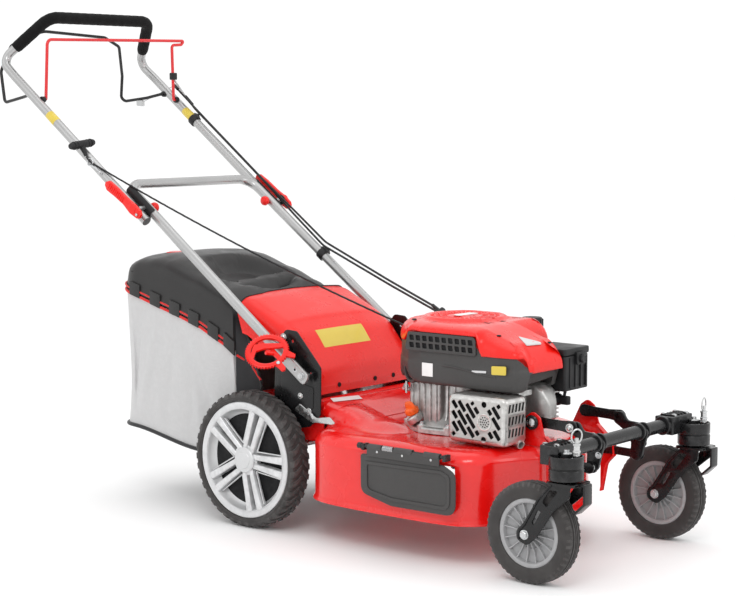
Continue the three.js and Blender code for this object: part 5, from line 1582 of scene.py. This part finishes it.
rc = []
for k, dz in ((2.2, 0), (0.6, 0.8), (0.2, 3)):
    rc.append([(q.x, q.y, min(red_low(p.x, p.y) + dz, cover_z(q.x, q.y) - 8)) for p, q in zip(_d, inset_ring(k))])
for k, f in ((0.6, .12), (1.6, .3), (4.0, .48), (9, .66), (15, .80), (22, .91), (30, .975)):
    ring = []
    for p, q in zip(_d, inset_ring(k)):
        lo_ = min(red_low(p.x, p.y) + 3, cover_z(q.x, q.y) - 8)
        ring.append((q.x, q.y, lo_ + (cover_z(q.x, q.y) - lo_) * f))
    rc.append(ring)
b13 = inset_ring(30)
for f in [0.02] + list(np.linspace(.07, .97, 26)):
    rc.append([(q.x * (1 - f), ENG_Y + (q.y - ENG_Y) * (1 - f), cover_z(q.x * (1 - f), ENG_Y + (q.y - ENG_Y) * (1 - f))) for q in b13])
to_obj("recoil_cover_moulding", loft(rc, True, True), REDP, "chassis", "recoil_cover", "red_plastic", smooth=45)
# vent ring: dark annulus under red vanes, painted shade of the housing's inside
vz = 476 + 6.5 - 2.2
vents = [lathe([(40, vz - 1), (77, vz - 1), (77, vz + 0.5), (40, vz + 0.5)], 72, "z", (0, ENG_Y, 0))]
to_obj("recoil_vent_shade_ring", join(*vents), DARK_AND_SHADE, "chassis", (), "black_plastic")
van = []
for i in range(40):
    a = 2 * math.pi * i / 40
    c, s = math.cos(a), math.sin(a)
    ring = []
    for r, w in ((39, 1.0), (78.5, 2.0)):
        ring.append([(c * r - s * u, ENG_Y + s * r + c * u, zz) for u, zz in ((-w, vz - .5), (w, vz - .5), (w * .7, vz + 1.8), (-w * .7, vz + 1.8))])
    van.append(loft(ring))
for r in (52, 65):
    van.append(lathe([(r - 1.1, vz - .5), (r + 1.1, vz - .5), (r + .8, vz + 1.9), (r - .8, vz + 1.9)], 72, "z", (0, ENG_Y, 0)))
to_obj("recoil_vanes", join(*van), REDP, "chassis", (), "red_plastic", smooth=35)
to_obj("recoil_centre_patch", prism([(-34, ENG_Y - 10, 8), (34, ENG_Y - 14, 8), (30, ENG_Y + 12, 8), (-30, ENG_Y + 10, 8)], vz + 3.2, vz + 4.1, "z", edge=0.3), WHITE, "chassis", (), None)
sc = []
for x, y in ((-118, -218), (-96, 20), (70, 40), (108, -60), (-20, -276)):
    sc.append(turned([(0, 0), (5.2, 0), (5.2, 1), (4.2, 2.4), (0, 2.4)], 20, (x, y, cover_z(x, y) - 1), (x, y, cover_z(x, y) + 6)))
to_obj("recoil_screws", join(*sc), DARK_AND_SHADE, "chassis", (), "black_plastic")
tri = [(-70, -232, 3), (-44, -276, 4), (-98, -272, 4)]
tr = [[(x, y, cover_z(x, y) + d) for x, y in rounded(tri, 4)] for d in (-1.5, 1.0)]
to_obj("recoil_front_patch", loft(tr), GREYP, "chassis", (), None, smooth=30)

# louvre panel on the right rear of the shroud
lv = []
cells = []
for r in range(2):
    for c in range(10):
        y0 = -178 + c * 17.0
        z0 = 426 + r * 15.5
        cells.append([(y0, z0, 2), (y0 + 11.5, z0, 2), (y0 + 13.2, z0 + 11, 2), (y0 + 1.7, z0 + 11, 2)])
to_obj("shroud_louvre", prism([(-186, 420, 6), (0, 420, 6), (-8, 459, 6), (-184, 459, 10)], -154.0, -151.2, "x", holes=cells, per=6, edge=0.7), GREY, "chassis", (), "grey_plastic", smooth=35)
# thin dark plate right behind the louvre holes: painted shade
to_obj("shroud_louvre_shade_plate", prism([(-184, 421, 4), (-3, 421, 4), (-9, 457, 4), (-182, 457, 6)], -151.4, -150.6, "x", edge=0.2), DARK_AND_SHADE, "chassis", (), "black_plastic")
for nm, pts, x0, m_ in (("shroud_patch_white", [(-74, 368, 1), (-46, 368, 1), (-46, 396, 1), (-74, 396, 1)], -153.6, WHITE), ("shroud_patch_strip", [(-212, 388, 1), (-176, 386, 1), (-176, 390.6, 1), (-212, 392.6, 1)], -154.0, GREYP), ("shroud_patch_yellow", [(-262, 388, 3), (-226, 386, 3), (-226, 404, 3), (-262, 406, 3)], -154.3, YELLOW)):
    to_obj(nm, prism(pts, x0, x0 + 1.6, "x", edge=0.2), m_, "chassis", (), None)
rl = [Vector((-153.2, y, 394 - 12 * smooth01((-110 - y) / 120))) for y in range(-100, -240, -8)]
to_obj("shroud_ridge", tube(rl, 1.5, 8), GREY, "chassis", (), "grey_plastic", smooth=60)
# air inlet at the rear corner
to_obj("shroud_inlet", join(turned([(21, 0), (26, 0), (27.5, 2), (27.5, 16), (26, 18), (21, 18)], 40, (-118, -6, 374), (-154, 8, 374))), GREY, "chassis", (), "grey_plastic", smooth=40)
# dark disc inside the inlet: painted shade of its depth
to_obj("shroud_inlet_shade_disc", join(turned([(0, 0), (22, 0), (22, 12), (0, 12)], 32, (-118, -6, 374), (-154, 8, 374))), DARK_AND_SHADE, "chassis", (), "black_plastic")
to_obj("governor_link", join(rod((-126, 18, 348), (-126, 18, 322), 2.2), hexbolt((-120, 22, 336), (-134, 26, 336), 9, 6, 8), tube([Vector((-118 - 4 * math.cos(a), 12 + 0.5 * a, 330 + 4 * math.sin(a))) for a in np.linspace(0, 40, 160)], 0.8, 6)), ZINC, "chassis", (), "zinc", smooth=40)

# crankcase, ribbed, on its base pan
cc = [lathe([(0, 240.4), (127, 240.4), (131, 242), (131, 250), (128.5, 253), (120, 254.5), (114, 262), (98, 274), (92, 284), (90, 350), (0, 350)], 72, "z", (0, ENG_Y, 0))]
for i in range(26):
    a = math.radians(108 + i * 9.6)
    c, s = math.cos(a), math.sin(a)
    ring = []
    for zz, r in ((262, 110), (276, 101), (300, 98.5), (348, 97)):
        ring.append([(c * rr - s * u, ENG_Y + s * rr + c * u, zz) for u, rr in ((-2.2, 84), (2.2, 84), (1.6, r), (-1.6, r))])
    cc.append(loft(ring))
for a in (25, 70, 130, 168, 200, 250, 300, 340):
    c, s = math.cos(math.radians(a)), math.sin(math.radians(a))
    cc.append(lathe([(0, 241), (11, 241), (11, 256), (9.4, 258), (0, 258)], 24, "z", (121 * c, ENG_Y + 121 * s, 0)))
cc.append(prism([(-62, -238, 6), (62, -238, 6), (62, -100, 6), (-62, -100, 6)], 252, 340, "z", edge=2.5))
for z in range(262, 338, 9):
    cc.append(prism([(-74, -240, 6), (74, -240, 6), (74, -128, 6), (-74, -128, 6)], z, z + 3, "z", edge=0.8))
cc.append(prism([(-108, -58, 8), (-60, -58, 6), (-60, 30, 6), (-108, 26, 10)], 256, 347, "z", edge=3))
for y in (-50, -34, -18, -2, 14):
    cc.append(prism([(y - 2, 262), (y + 2, 262), (y + 2, 344), (y - 2, 344)], -112, -104, "x", edge=1))
cc.append(turned([(0, 0), (17, 0), (18, 2), (18, 12), (15, 15), (0, 15)], 30, (-116, -2, 262), (-124, 8, 281)))
to_obj("crankcase_casting", join(*cc), CAST, "chassis", "crankcase", "cast_aluminium", smooth=34)
to_obj("crankcase_bolts", join(*[hexbolt((121 * math.cos(math.radians(a)), ENG_Y + 121 * math.sin(math.radians(a)), 258), (121 * math.cos(math.radians(a)), ENG_Y + 121 * math.sin(math.radians(a)), 266), 10, 6, 8) for a in (25, 70, 130, 168, 200, 250, 300, 340)],
     hexbolt((-74, -178, 352), (-74, -178, 358), 9, 3, 6)), ZINC, "chassis", (), "zinc")
to_obj("crankcase_drain", hexbolt((-128, -150, 252), (-140, -160, 252), 12, 6, 9), ZINC, "chassis", (), "zinc")

# muffler guard: rounded steel shell with a slotted face
gb = [(-143, 248), (-285, 248), (-285, 344), (-143, 344)]


def g_ring(x, k, r=15):
    pts = [(-141 - k, 246 + k, r), (-287 + k, 246 + k, r), (-287 + k, 346 - k, r), (-141 - k, 346 - k, r)]
    return [(x, y, z) for y, z in rounded(pts, 8)]


gshell = loft([g_ring(-120, 3), g_ring(-121, 0), g_ring(-178, 0), g_ring(-183.5, 0.6), g_ring(-187, 2.4), g_ring(-189.2, 5.4), g_ring(-190, 9.6)], False, False)
bmesh.ops.delete(gshell, geom=[f for f in gshell.faces if abs(f.normal.y) > .98 and f.calc_center_median().y * 1000 + OY < -280 and -181 < f.calc_center_median().x * 1000 < -121], context="FACES")
to_obj("muffler_guard_shell", gshell, STEEL, "chassis", "muffler_guard", "cast_aluminium", smooth=50, solid=1.4)

holes = []
feats = [(-234, 330, 10.5), (-233, 258, 10.5), (-235, 294, 18)]
d_, p_ = Vector((.6, .8)), Vector((.8, -.6))
c0 = Vector((-214, 296))
y0_, y1_, z0_, z1_ = -277, -151, 256, 336
for k in range(-8, 9):
    base_ = c0 + p_ * (k * 13.0)
    runs, cur = [], None
    for s_ in np.arange(-110, 110, 1.0):
        q = base_ + d_ * s_
        ok = y0_ + 4 < q.x < y1_ - 4 and z0_ + 4 < q.y < z1_ - 4 and all((q - Vector(f[:2])).length > f[2] + 4 for f in feats)
        # clear bands meant to break the slots into two fields: the test is never true and is not used
        band_ = abs((q.x + 214) * .80 + (q.y - 296) * -.6 - 0) < 0
        ph = (s_ + (k % 2) * 17 + 200) % 40
        if ph < 6:
            ok = False
        if ok and cur is None:
            cur = s_
        if not ok and cur is not None:
            runs.append((cur, s_))
            cur = None
    for a, b in runs:
        if b - a >= 6:
            m0, m1 = base_ + d_ * a, base_ + d_ * b
            w_ = 4.6
            holes.append([(m0.x - p_.x * w_, m0.y - p_.y * w_, 2.2), (m0.x + p_.x * w_, m0.y + p_.y * w_, 2.2), (m1.x + p_.x * w_, m1.y + p_.y * w_, 2.2), (m1.x - p_.x * w_, m1.y - p_.y * w_, 2.2)])
for y, z, r in ((-234, 330, 6.4), (-233, 258, 6.4)):
    holes.append((y, z, r))
for r, n in ((0.01, 1), (5.2, 6), (10.2, 11)):
    for i in range(n):
        a = 2 * math.pi * i / n
        holes.append((-235 + r * math.cos(a), 294 + r * math.sin(a), 1.7))
face = [(-150.6, 255.6, 7), (-277.4, 255.6, 7), (-277.4, 336.4, 7), (-150.6, 336.4, 7)]
to_obj("muffler_guard_face", prism(face, -190.3, -188.9, "x", holes=holes, per=6, edge=0.3), STEEL, "chassis", (), "cast_aluminium", smooth=35)
to_obj("muffler_guard_rim", join(lathe([(14.5, -191.6), (16, -192.2), (17.5, -191.6), (17.5, -190), (14.5, -190)], 40, "x", (0, -235, 294))), STEEL, "chassis", (), "cast_aluminium")
to_obj("muffler_core", prism([(-148, 253, 10), (-280, 253, 10), (-280, 339, 10), (-148, 339, 10)], -184, -126, "x", edge=3), DARK_AND_SHADE, "chassis", (), "black_plastic")
gs = []
for i in range(5):
    for j in range(3):
        x, z = -178 + i * 11.5, 266 + j * 25
        gs.append([(x - 3.4, z, 1.4), (x + 3.4, z, 1.4), (x + 7.4, z + 17, 1.4), (x + 0.6, z + 17, 1.4)])
to_obj("muffler_guard_side", prism([(-184, 256, 5), (-121, 256, 4), (-121, 336, 4), (-184, 336, 5)], -287.9, -286.3, "y", holes=gs, edge=0.3), STEEL, "chassis", (), "cast_aluminium", smooth=35)
# thin dark plate behind the side slots: painted shade
to_obj("muffler_side_shade_plate", prism([(-180, 260, 4), (-123, 260, 4), (-123, 332, 4), (-180, 332, 4)], -286.2, -285.2, "y", edge=0.2), DARK_AND_SHADE, "chassis", (), "black_plastic")
to_obj("muffler_outlet", join(turned([(7, 0), (9, 0), (9, 26), (7, 26)], 24, (-128, -262, 252), (-134, -286, 246))), STEEL, "chassis", (), "cast_aluminium")

# valve cover, plug cap and lead
def rr_y(y, x0, x1, z0, z1, r, dz=0):
    return [(x, y, z) for x, z in rounded([(x0, z0, r), (x1, z0, r), (x1, z1, r), (x0, z1, r)], 5)]


to_obj("valve_cover_pressing", join(loft([rr_y(-236, -64, 5, 268, 366, 8), rr_y(-243, -64, 5, 268, 366, 8), rr_y(-243.5, -57, -2, 275, 360, 7), rr_y(-262, -56, -3, 276, 358, 7), rr_y(-280, -53, -6, 278, 346, 7), rr_y(-290, -46, -13, 284, 326, 7), rr_y(-293, -42, -17, 288, 318, 6)]),
     loft([rr_y(-246, -110, -60, 336, 350, 4), rr_y(-262, -108, -62, 338, 349, 4)])), CAST, "chassis", "valve_cover", "cast_aluminium", smooth=30)
to_obj("valve_cover_bolts", join(*[hexbolt((x, -243, z), (x, -252, z), 8, 4, 6) for x, z in ((-55, 275), (-2, 275), (-55, 352), (-2, 352))]), ZINC, "chassis", (), "zinc")
sparks = join(turned([(0, 0), (9, 0), (10, 3), (10, 16), (12.6, 18), (13, 24), (12, 28.5), (0, 28.6)], 28, (1.5, -268, 318), (30, -268, 318)), prism([(15, -299, 5), (29, -299, 5), (29, -262, 5), (15, -262, 5)], 309, 327, "z", edge=2.5))
to_obj("spark_cap_boot", sparks, BLK, "chassis", "spark_cap", "black_plastic", smooth=40)
ld = bend([(22, -286, 327), (22, -290, 348, 14), (40, -282, 352, 14), (56, -250, 344, 10), (40, -214, 344)], 12)
to_obj("spark_lead", tube(densify(ld, 5), 3.4, 14), CABLE, "chassis", (), "cable", smooth=60)

# air filter housing
af = [prism([(3, -300, 6), (96, -298, 10), (98, -204, 6), (3, -204, 4)], 338.5, 412, "z", edge=3), prism([(1, -301, 7), (98, -300, 10), (100, -203, 6), (2, -203, 4)], 412.5, 427, "z", edge=3)]
for x in (22, 42, 62, 82):
    af.append(prism([(x - 2, 344, 1), (x + 2, 344, 1), (x + 2, 408, 1), (x - 2, 408, 1)], -301.4, -298.4, "y", edge=0.6))
af.append(prism([(40, 392, 4), (72, 392, 4), (72, 418, 4), (40, 418, 4)], -306, -299.5, "y", edge=1.4))
af.append(turned([(0, 0), (9, 0), (9, 5), (7, 7), (0, 7)], 8, (56, -305.5, 404), (56, -316, 404)))
to_obj("air_filter_housing", join(*af), BLK, "chassis", "air_filter", "black_plastic", smooth=40)
to_obj("air_filter_bracket", join(prism([(-4, -210, 3), (30, -210, 3), (30, -186, 3), (-4, -186, 3)], 300, 412, "z", edge=2), tube([Vector((80, -230, 340)), Vector((84, -226, 318)), Vector((70, -200, 300)), Vector((50, -180, 292))], 6, 14)), BLK, "chassis", (), "black_plastic", smooth=45)

fc = [lathe([(0, 446.5), (22, 446.5), (23, 448), (23, 470), (21, 474), (0, 475)], 40, "z", (112, -140, 0))]
for i in range(12):
    a = 2 * math.pi * i / 12
    fc.append(rod((112 + 22.4 * math.cos(a), -140 + 22.4 * math.sin(a), 449), (112 + 22.4 * math.cos(a), -140 + 22.4 * math.sin(a), 471), 2.6, 12))
to_obj("fuel_cap_knob", join(*fc), BLK, "fuel_cap", "fuel_cap", "black_plastic", smooth=40)
A_, B_ = Vector((-120, 4, 277)), Vector((-130, 10, 304))
dp = [turned([(0, 0), (9, 0), (13.4, 2), (14, 5), (14, 12), (12.4, 15), (8, 16.5), (0, 17)], 32, tuple(A_), tuple(B_))]
up_ = (B_ - A_).normalized()
sd = up_.cross(Vector((1, 0, 0))).normalized()
fw = sd.cross(up_).normalized()
c1 = A_ + up_ * 14
rng = []
for hgt, wv, th in ((0, 13, 4.2), (8, 12.5, 3.6), (14, 9.5, 3.0), (16, 6, 2.0)):
    rng.append([tuple(c1 + up_ * hgt + sd * (wv * math.cos(a)) + fw * (th * math.sin(a))) for a in np.linspace(0, 2 * math.pi, 24, endpoint=False)])
dp.append(loft(rng))
for i in range(10):
    a = 2 * math.pi * i / 10
    q = A_ + sd * (13.6 * math.cos(a)) + fw * (13.6 * math.sin(a))
    dp.append(rod(tuple(q + up_ * 3), tuple(q + up_ * 13), 1.6, 10))
to_obj("dipstick_cap", join(*dp), ORANGE, "dipstick", "dipstick", "orange", smooth=42)

# drive below the deck
bl = join(loft([[(x, ENG_Y + y, z) for y, z in sec_] for x, sec_ in (
    (-250, [(-26, 103), (8, 103), (20, 107), (20, 110), (7, 105.5), (-26, 104.5)]), (-190, [(-26, 103), (12, 103), (26, 103), (26, 106), (12, 107.6), (-26, 105)]), (-60, [(-26, 103), (12, 103), (26, 103), (26, 107.6), (12, 107.6), (-26, 107.6)]),
    (60, [(-26, 103), (-12, 103), (26, 103), (26, 107.6), (-12, 107.6), (-26, 107.6)]), (190, [(-26, 103), (-12, 103), (26, 103), (26, 105), (-12, 107.6), (-26, 106)]), (250, [(-20, 107), (-8, 103), (26, 103), (26, 104.5), (-7, 105.5), (-20, 110)]))]), hexbolt((0, ENG_Y, 103), (0, ENG_Y, 94), 24, 8, 24))
to_obj("blade_bar", bl, POWDER, "crank", "blade", "steel_black", smooth=30)
to_obj("crankshaft_turning", lathe([(0, 108), (11.5, 108), (12.5, 109), (12.5, 148), (29, 148), (30, 149), (30, 151), (22, 154), (22, 156), (30, 158.5), (30, 160.5), (29, 161), (12.5, 161), (12.5, 300), (0, 300)], 48, "z", (0, ENG_Y, 0)), ZINC, "crank", "crankshaft", "zinc", smooth=35)
to_obj("gearbox_pulley_turning", lathe([(0, 148), (27, 148), (28, 149), (28, 151), (20, 153.6), (20, 155), (28, 157.4), (28, 159), (27, 159.6), (6, 159.6), (6, 193), (0, 193)], 44, "z", (96, 268, 0)), ZINC, "gearbox_input", "gearbox_pulley", "zinc", smooth=35)
gx = [prism([(64, 248, 10), (128, 248, 10), (128, 344, 12), (64, 344, 12)], 166.2, 197, "z", edge=3), lathe([(0, 160.5), (11, 160.5), (12, 162), (12, 170), (0, 170)], 30, "z", (96, 268, 0))]
for a, b in ((70, 258), (122, 258), (70, 336), (122, 336)):
    gx.append(lathe([(0, 163), (5, 163), (5, 166.4), (0, 166.4)], 18, "z", (a, b, 0)))
for y in (276, 290, 304):
    gx.append(prism([(68, y - 1.5), (124, y - 1.5), (124, y + 1.5), (68, y + 1.5)], 162, 166.5, "z", edge=0.5))
to_obj("gearbox_casting", join(*gx), CAST, "chassis", "gearbox", "cast_aluminium", smooth=35)
ba, bb_ = (0, ENG_Y), (96, 268)
th = math.atan2(bb_[1] - ba[1], bb_[0] - ba[0])
lp_ = [Vector((ba[0] + 25.4 * math.cos(th + math.pi / 2 + math.pi * i / 24), ba[1] + 25.4 * math.sin(th + math.pi / 2 + math.pi * i / 24), 154.2)) for i in range(25)] + [Vector((bb_[0] + 23.4 * math.cos(th - math.pi / 2 + math.pi * i / 24), bb_[1] + 23.4 * math.sin(th - math.pi / 2 + math.pi * i / 24), 154.4)) for i in range(25)]
to_obj("drive_belt_loop", sweep(lp_, lambda i, t: [(-2.6, -2.2), (2.6, -2.8), (2.6, 2.8), (-2.6, 2.2)], closed=True), BELT, "chassis", "drive_belt", "belt", smooth=50)
# apron that carries the deck up to the flap's foot, with a plain patch on it


def apron_z(x, y):
    e = max(0.0, abs(x) - 150) / 24
    side_drop = 26 * (1 - math.sqrt(max(0, 1 - min(1, e) ** 2)))
    return max(deck_top(x, y) - 1.5, 293.2 - (229.5 - y) * 0.40 - side_drop)


apx = [-174, -173.5, -172, -169, -164, -157, -150] + list(np.linspace(-140, 140, 21)) + [150, 157, 164, 169, 172, 173.5, 174]
apr = [[(x, 229.5, max(deck_top(x, 229) - 2, 268)) for x in apx]] + [[(x, y, apron_z(x, y)) for x in apx] for y in (229.5, 228, 224, 216, 206, 194, 180, 164, 150, 138, 128)]
apm = loft(apr, False, False, closed=False)
if sum(f.normal.z for f in apm.faces) < 0:
    bmesh.ops.reverse_faces(apm, faces=apm.faces)
to_obj("deck_rear_apron", apm, RED, "chassis", (), "deck_red", smooth=60, solid=2.0)
to_obj("deck_patch", loft([[(x, y, apron_z(x, y) + d) for x, y in ((-146, 206), (-60, 196), (-52, 214), (-138, 222))] for d in (1.3, 1.9)]), WHITE, "chassis", (), None)

# cut sizes would come from the frame the cloth is sewn to, not from the finished mesh: the wall wrap as the outline's
# length by the panel height at each point, the floor as its outline, the collar as the mouth wire's length by its mean
# slant; only a run-length helper and the wall outline are set up here, no sizes are worked out
def run(pts):
    return [(Vector(a) - Vector(b)).length for a, b in zip(pts[1:], pts[:-1])]


wall = [(x, y) for x, y, k in bag_outline(187.5, 461, 842, 46) if k != "f"]

# --------------------------------------------------------------- carried-over frame parts get their finish too
FINISH = {"deck_red": RED, "steel_black": POWDER, "red_plastic": REDP, "black_plastic": BLK, "grey_plastic": GREY, "tube_silver": LACQ, "cast_aluminium": CAST,
          "zinc": ZINC, "tyre": TYRE, "rim_silver": RIM, "rim_grey": RIMG, "fabric": FABRIC, "orange": ORANGE, "foam": FOAM, "belt": BELT, "red_wire": REDW, "cable": CABLE}
slots = {p["node"]: p.get("material_slot") for p in frame["record"]["subparts"]}
for name, o in frame["nodes"].items():
    o.data.materials.clear()
    o.data.materials.append(FINISH[slots[name]])

# --------------------------------------------------------------- stage
me = bpy.data.meshes.new("floor")
me.from_pydata([(-14, -14, 0), (14, -14, 0), (14, 14, 0), (-14, 14, 0)], [], [(0, 1, 2, 3)])
floor = bpy.data.objects.new("floor", me)
bpy.context.scene.collection.objects.link(floor)
fm = Mat("floor_pale", (0.96, 0.96, 0.96), rough=0.7, spec=0.15)
fm.tint(fm.noise(1.5, 2), (0.98, 0.98, 0.98), 0.5, 0.4, 0.6)
me.materials.append(fm.m)

w = bpy.data.worlds.new("studio")
bpy.context.scene.world = w
w.use_nodes = True
w.node_tree.nodes["Background"].inputs["Color"].default_value = (1, 1, 1, 1)
w.node_tree.nodes["Background"].inputs["Strength"].default_value = 1.07


def area(name, loc, target, size, power, size_y=None):
    l = bpy.data.lights.new(name, "AREA")
    l.energy, l.size = power, size
    if size_y:
        l.shape, l.size_y = "RECTANGLE", size_y
    o = bpy.data.objects.new(name, l)
    o.location = loc
    o.rotation_euler = (Vector(target) - Vector(loc)).to_track_quat("-Z", "Y").to_euler()
    bpy.context.scene.collection.objects.link(o)


area("key", (-2.2, -1.6, 2.9), (0, 0, 0.35), 1.2, 20, 0.9)
area("fill", (-2.8, 1.8, 2.2), (0, 0.2, 0.4), 2.0, 5)
area("front", (0.9, -3.4, 1.9), (0, -0.3, 0.3), 1.4, 12)
area("top", (0.3, 0.2, 3.4), (0, 0, 0.3), 2.0, 9)

cam_data = bpy.data.cameras.new("cam")
cam = bpy.data.objects.new("cam", cam_data)
bpy.context.scene.collection.objects.link(cam)
bpy.context.scene.camera = cam
cam_data.sensor_width = 36
cam_data.lens = 1844.7 * 36 / 735
cam_data.shift_x = -(400.8 - 735 / 2) / 735
cam_data.shift_y = (324.1 - 596 / 2) / 735
cam_data.clip_end = 60
cam.location = (-3.1512, -2.7810, 0.9302)
yaw, pitch, roll = math.radians(51.05), math.radians(6.77), math.radians(0.11)
fwd = Vector((math.sin(yaw) * math.cos(pitch), math.cos(yaw) * math.cos(pitch), -math.sin(pitch)))
cam.rotation_mode = "QUATERNION"
cam.rotation_quaternion = fwd.to_track_quat("-Z", "Y") @ Matrix.Rotation(-roll, 3, "Z").to_quaternion()
bpy.context.scene.view_settings.view_transform = "Standard"
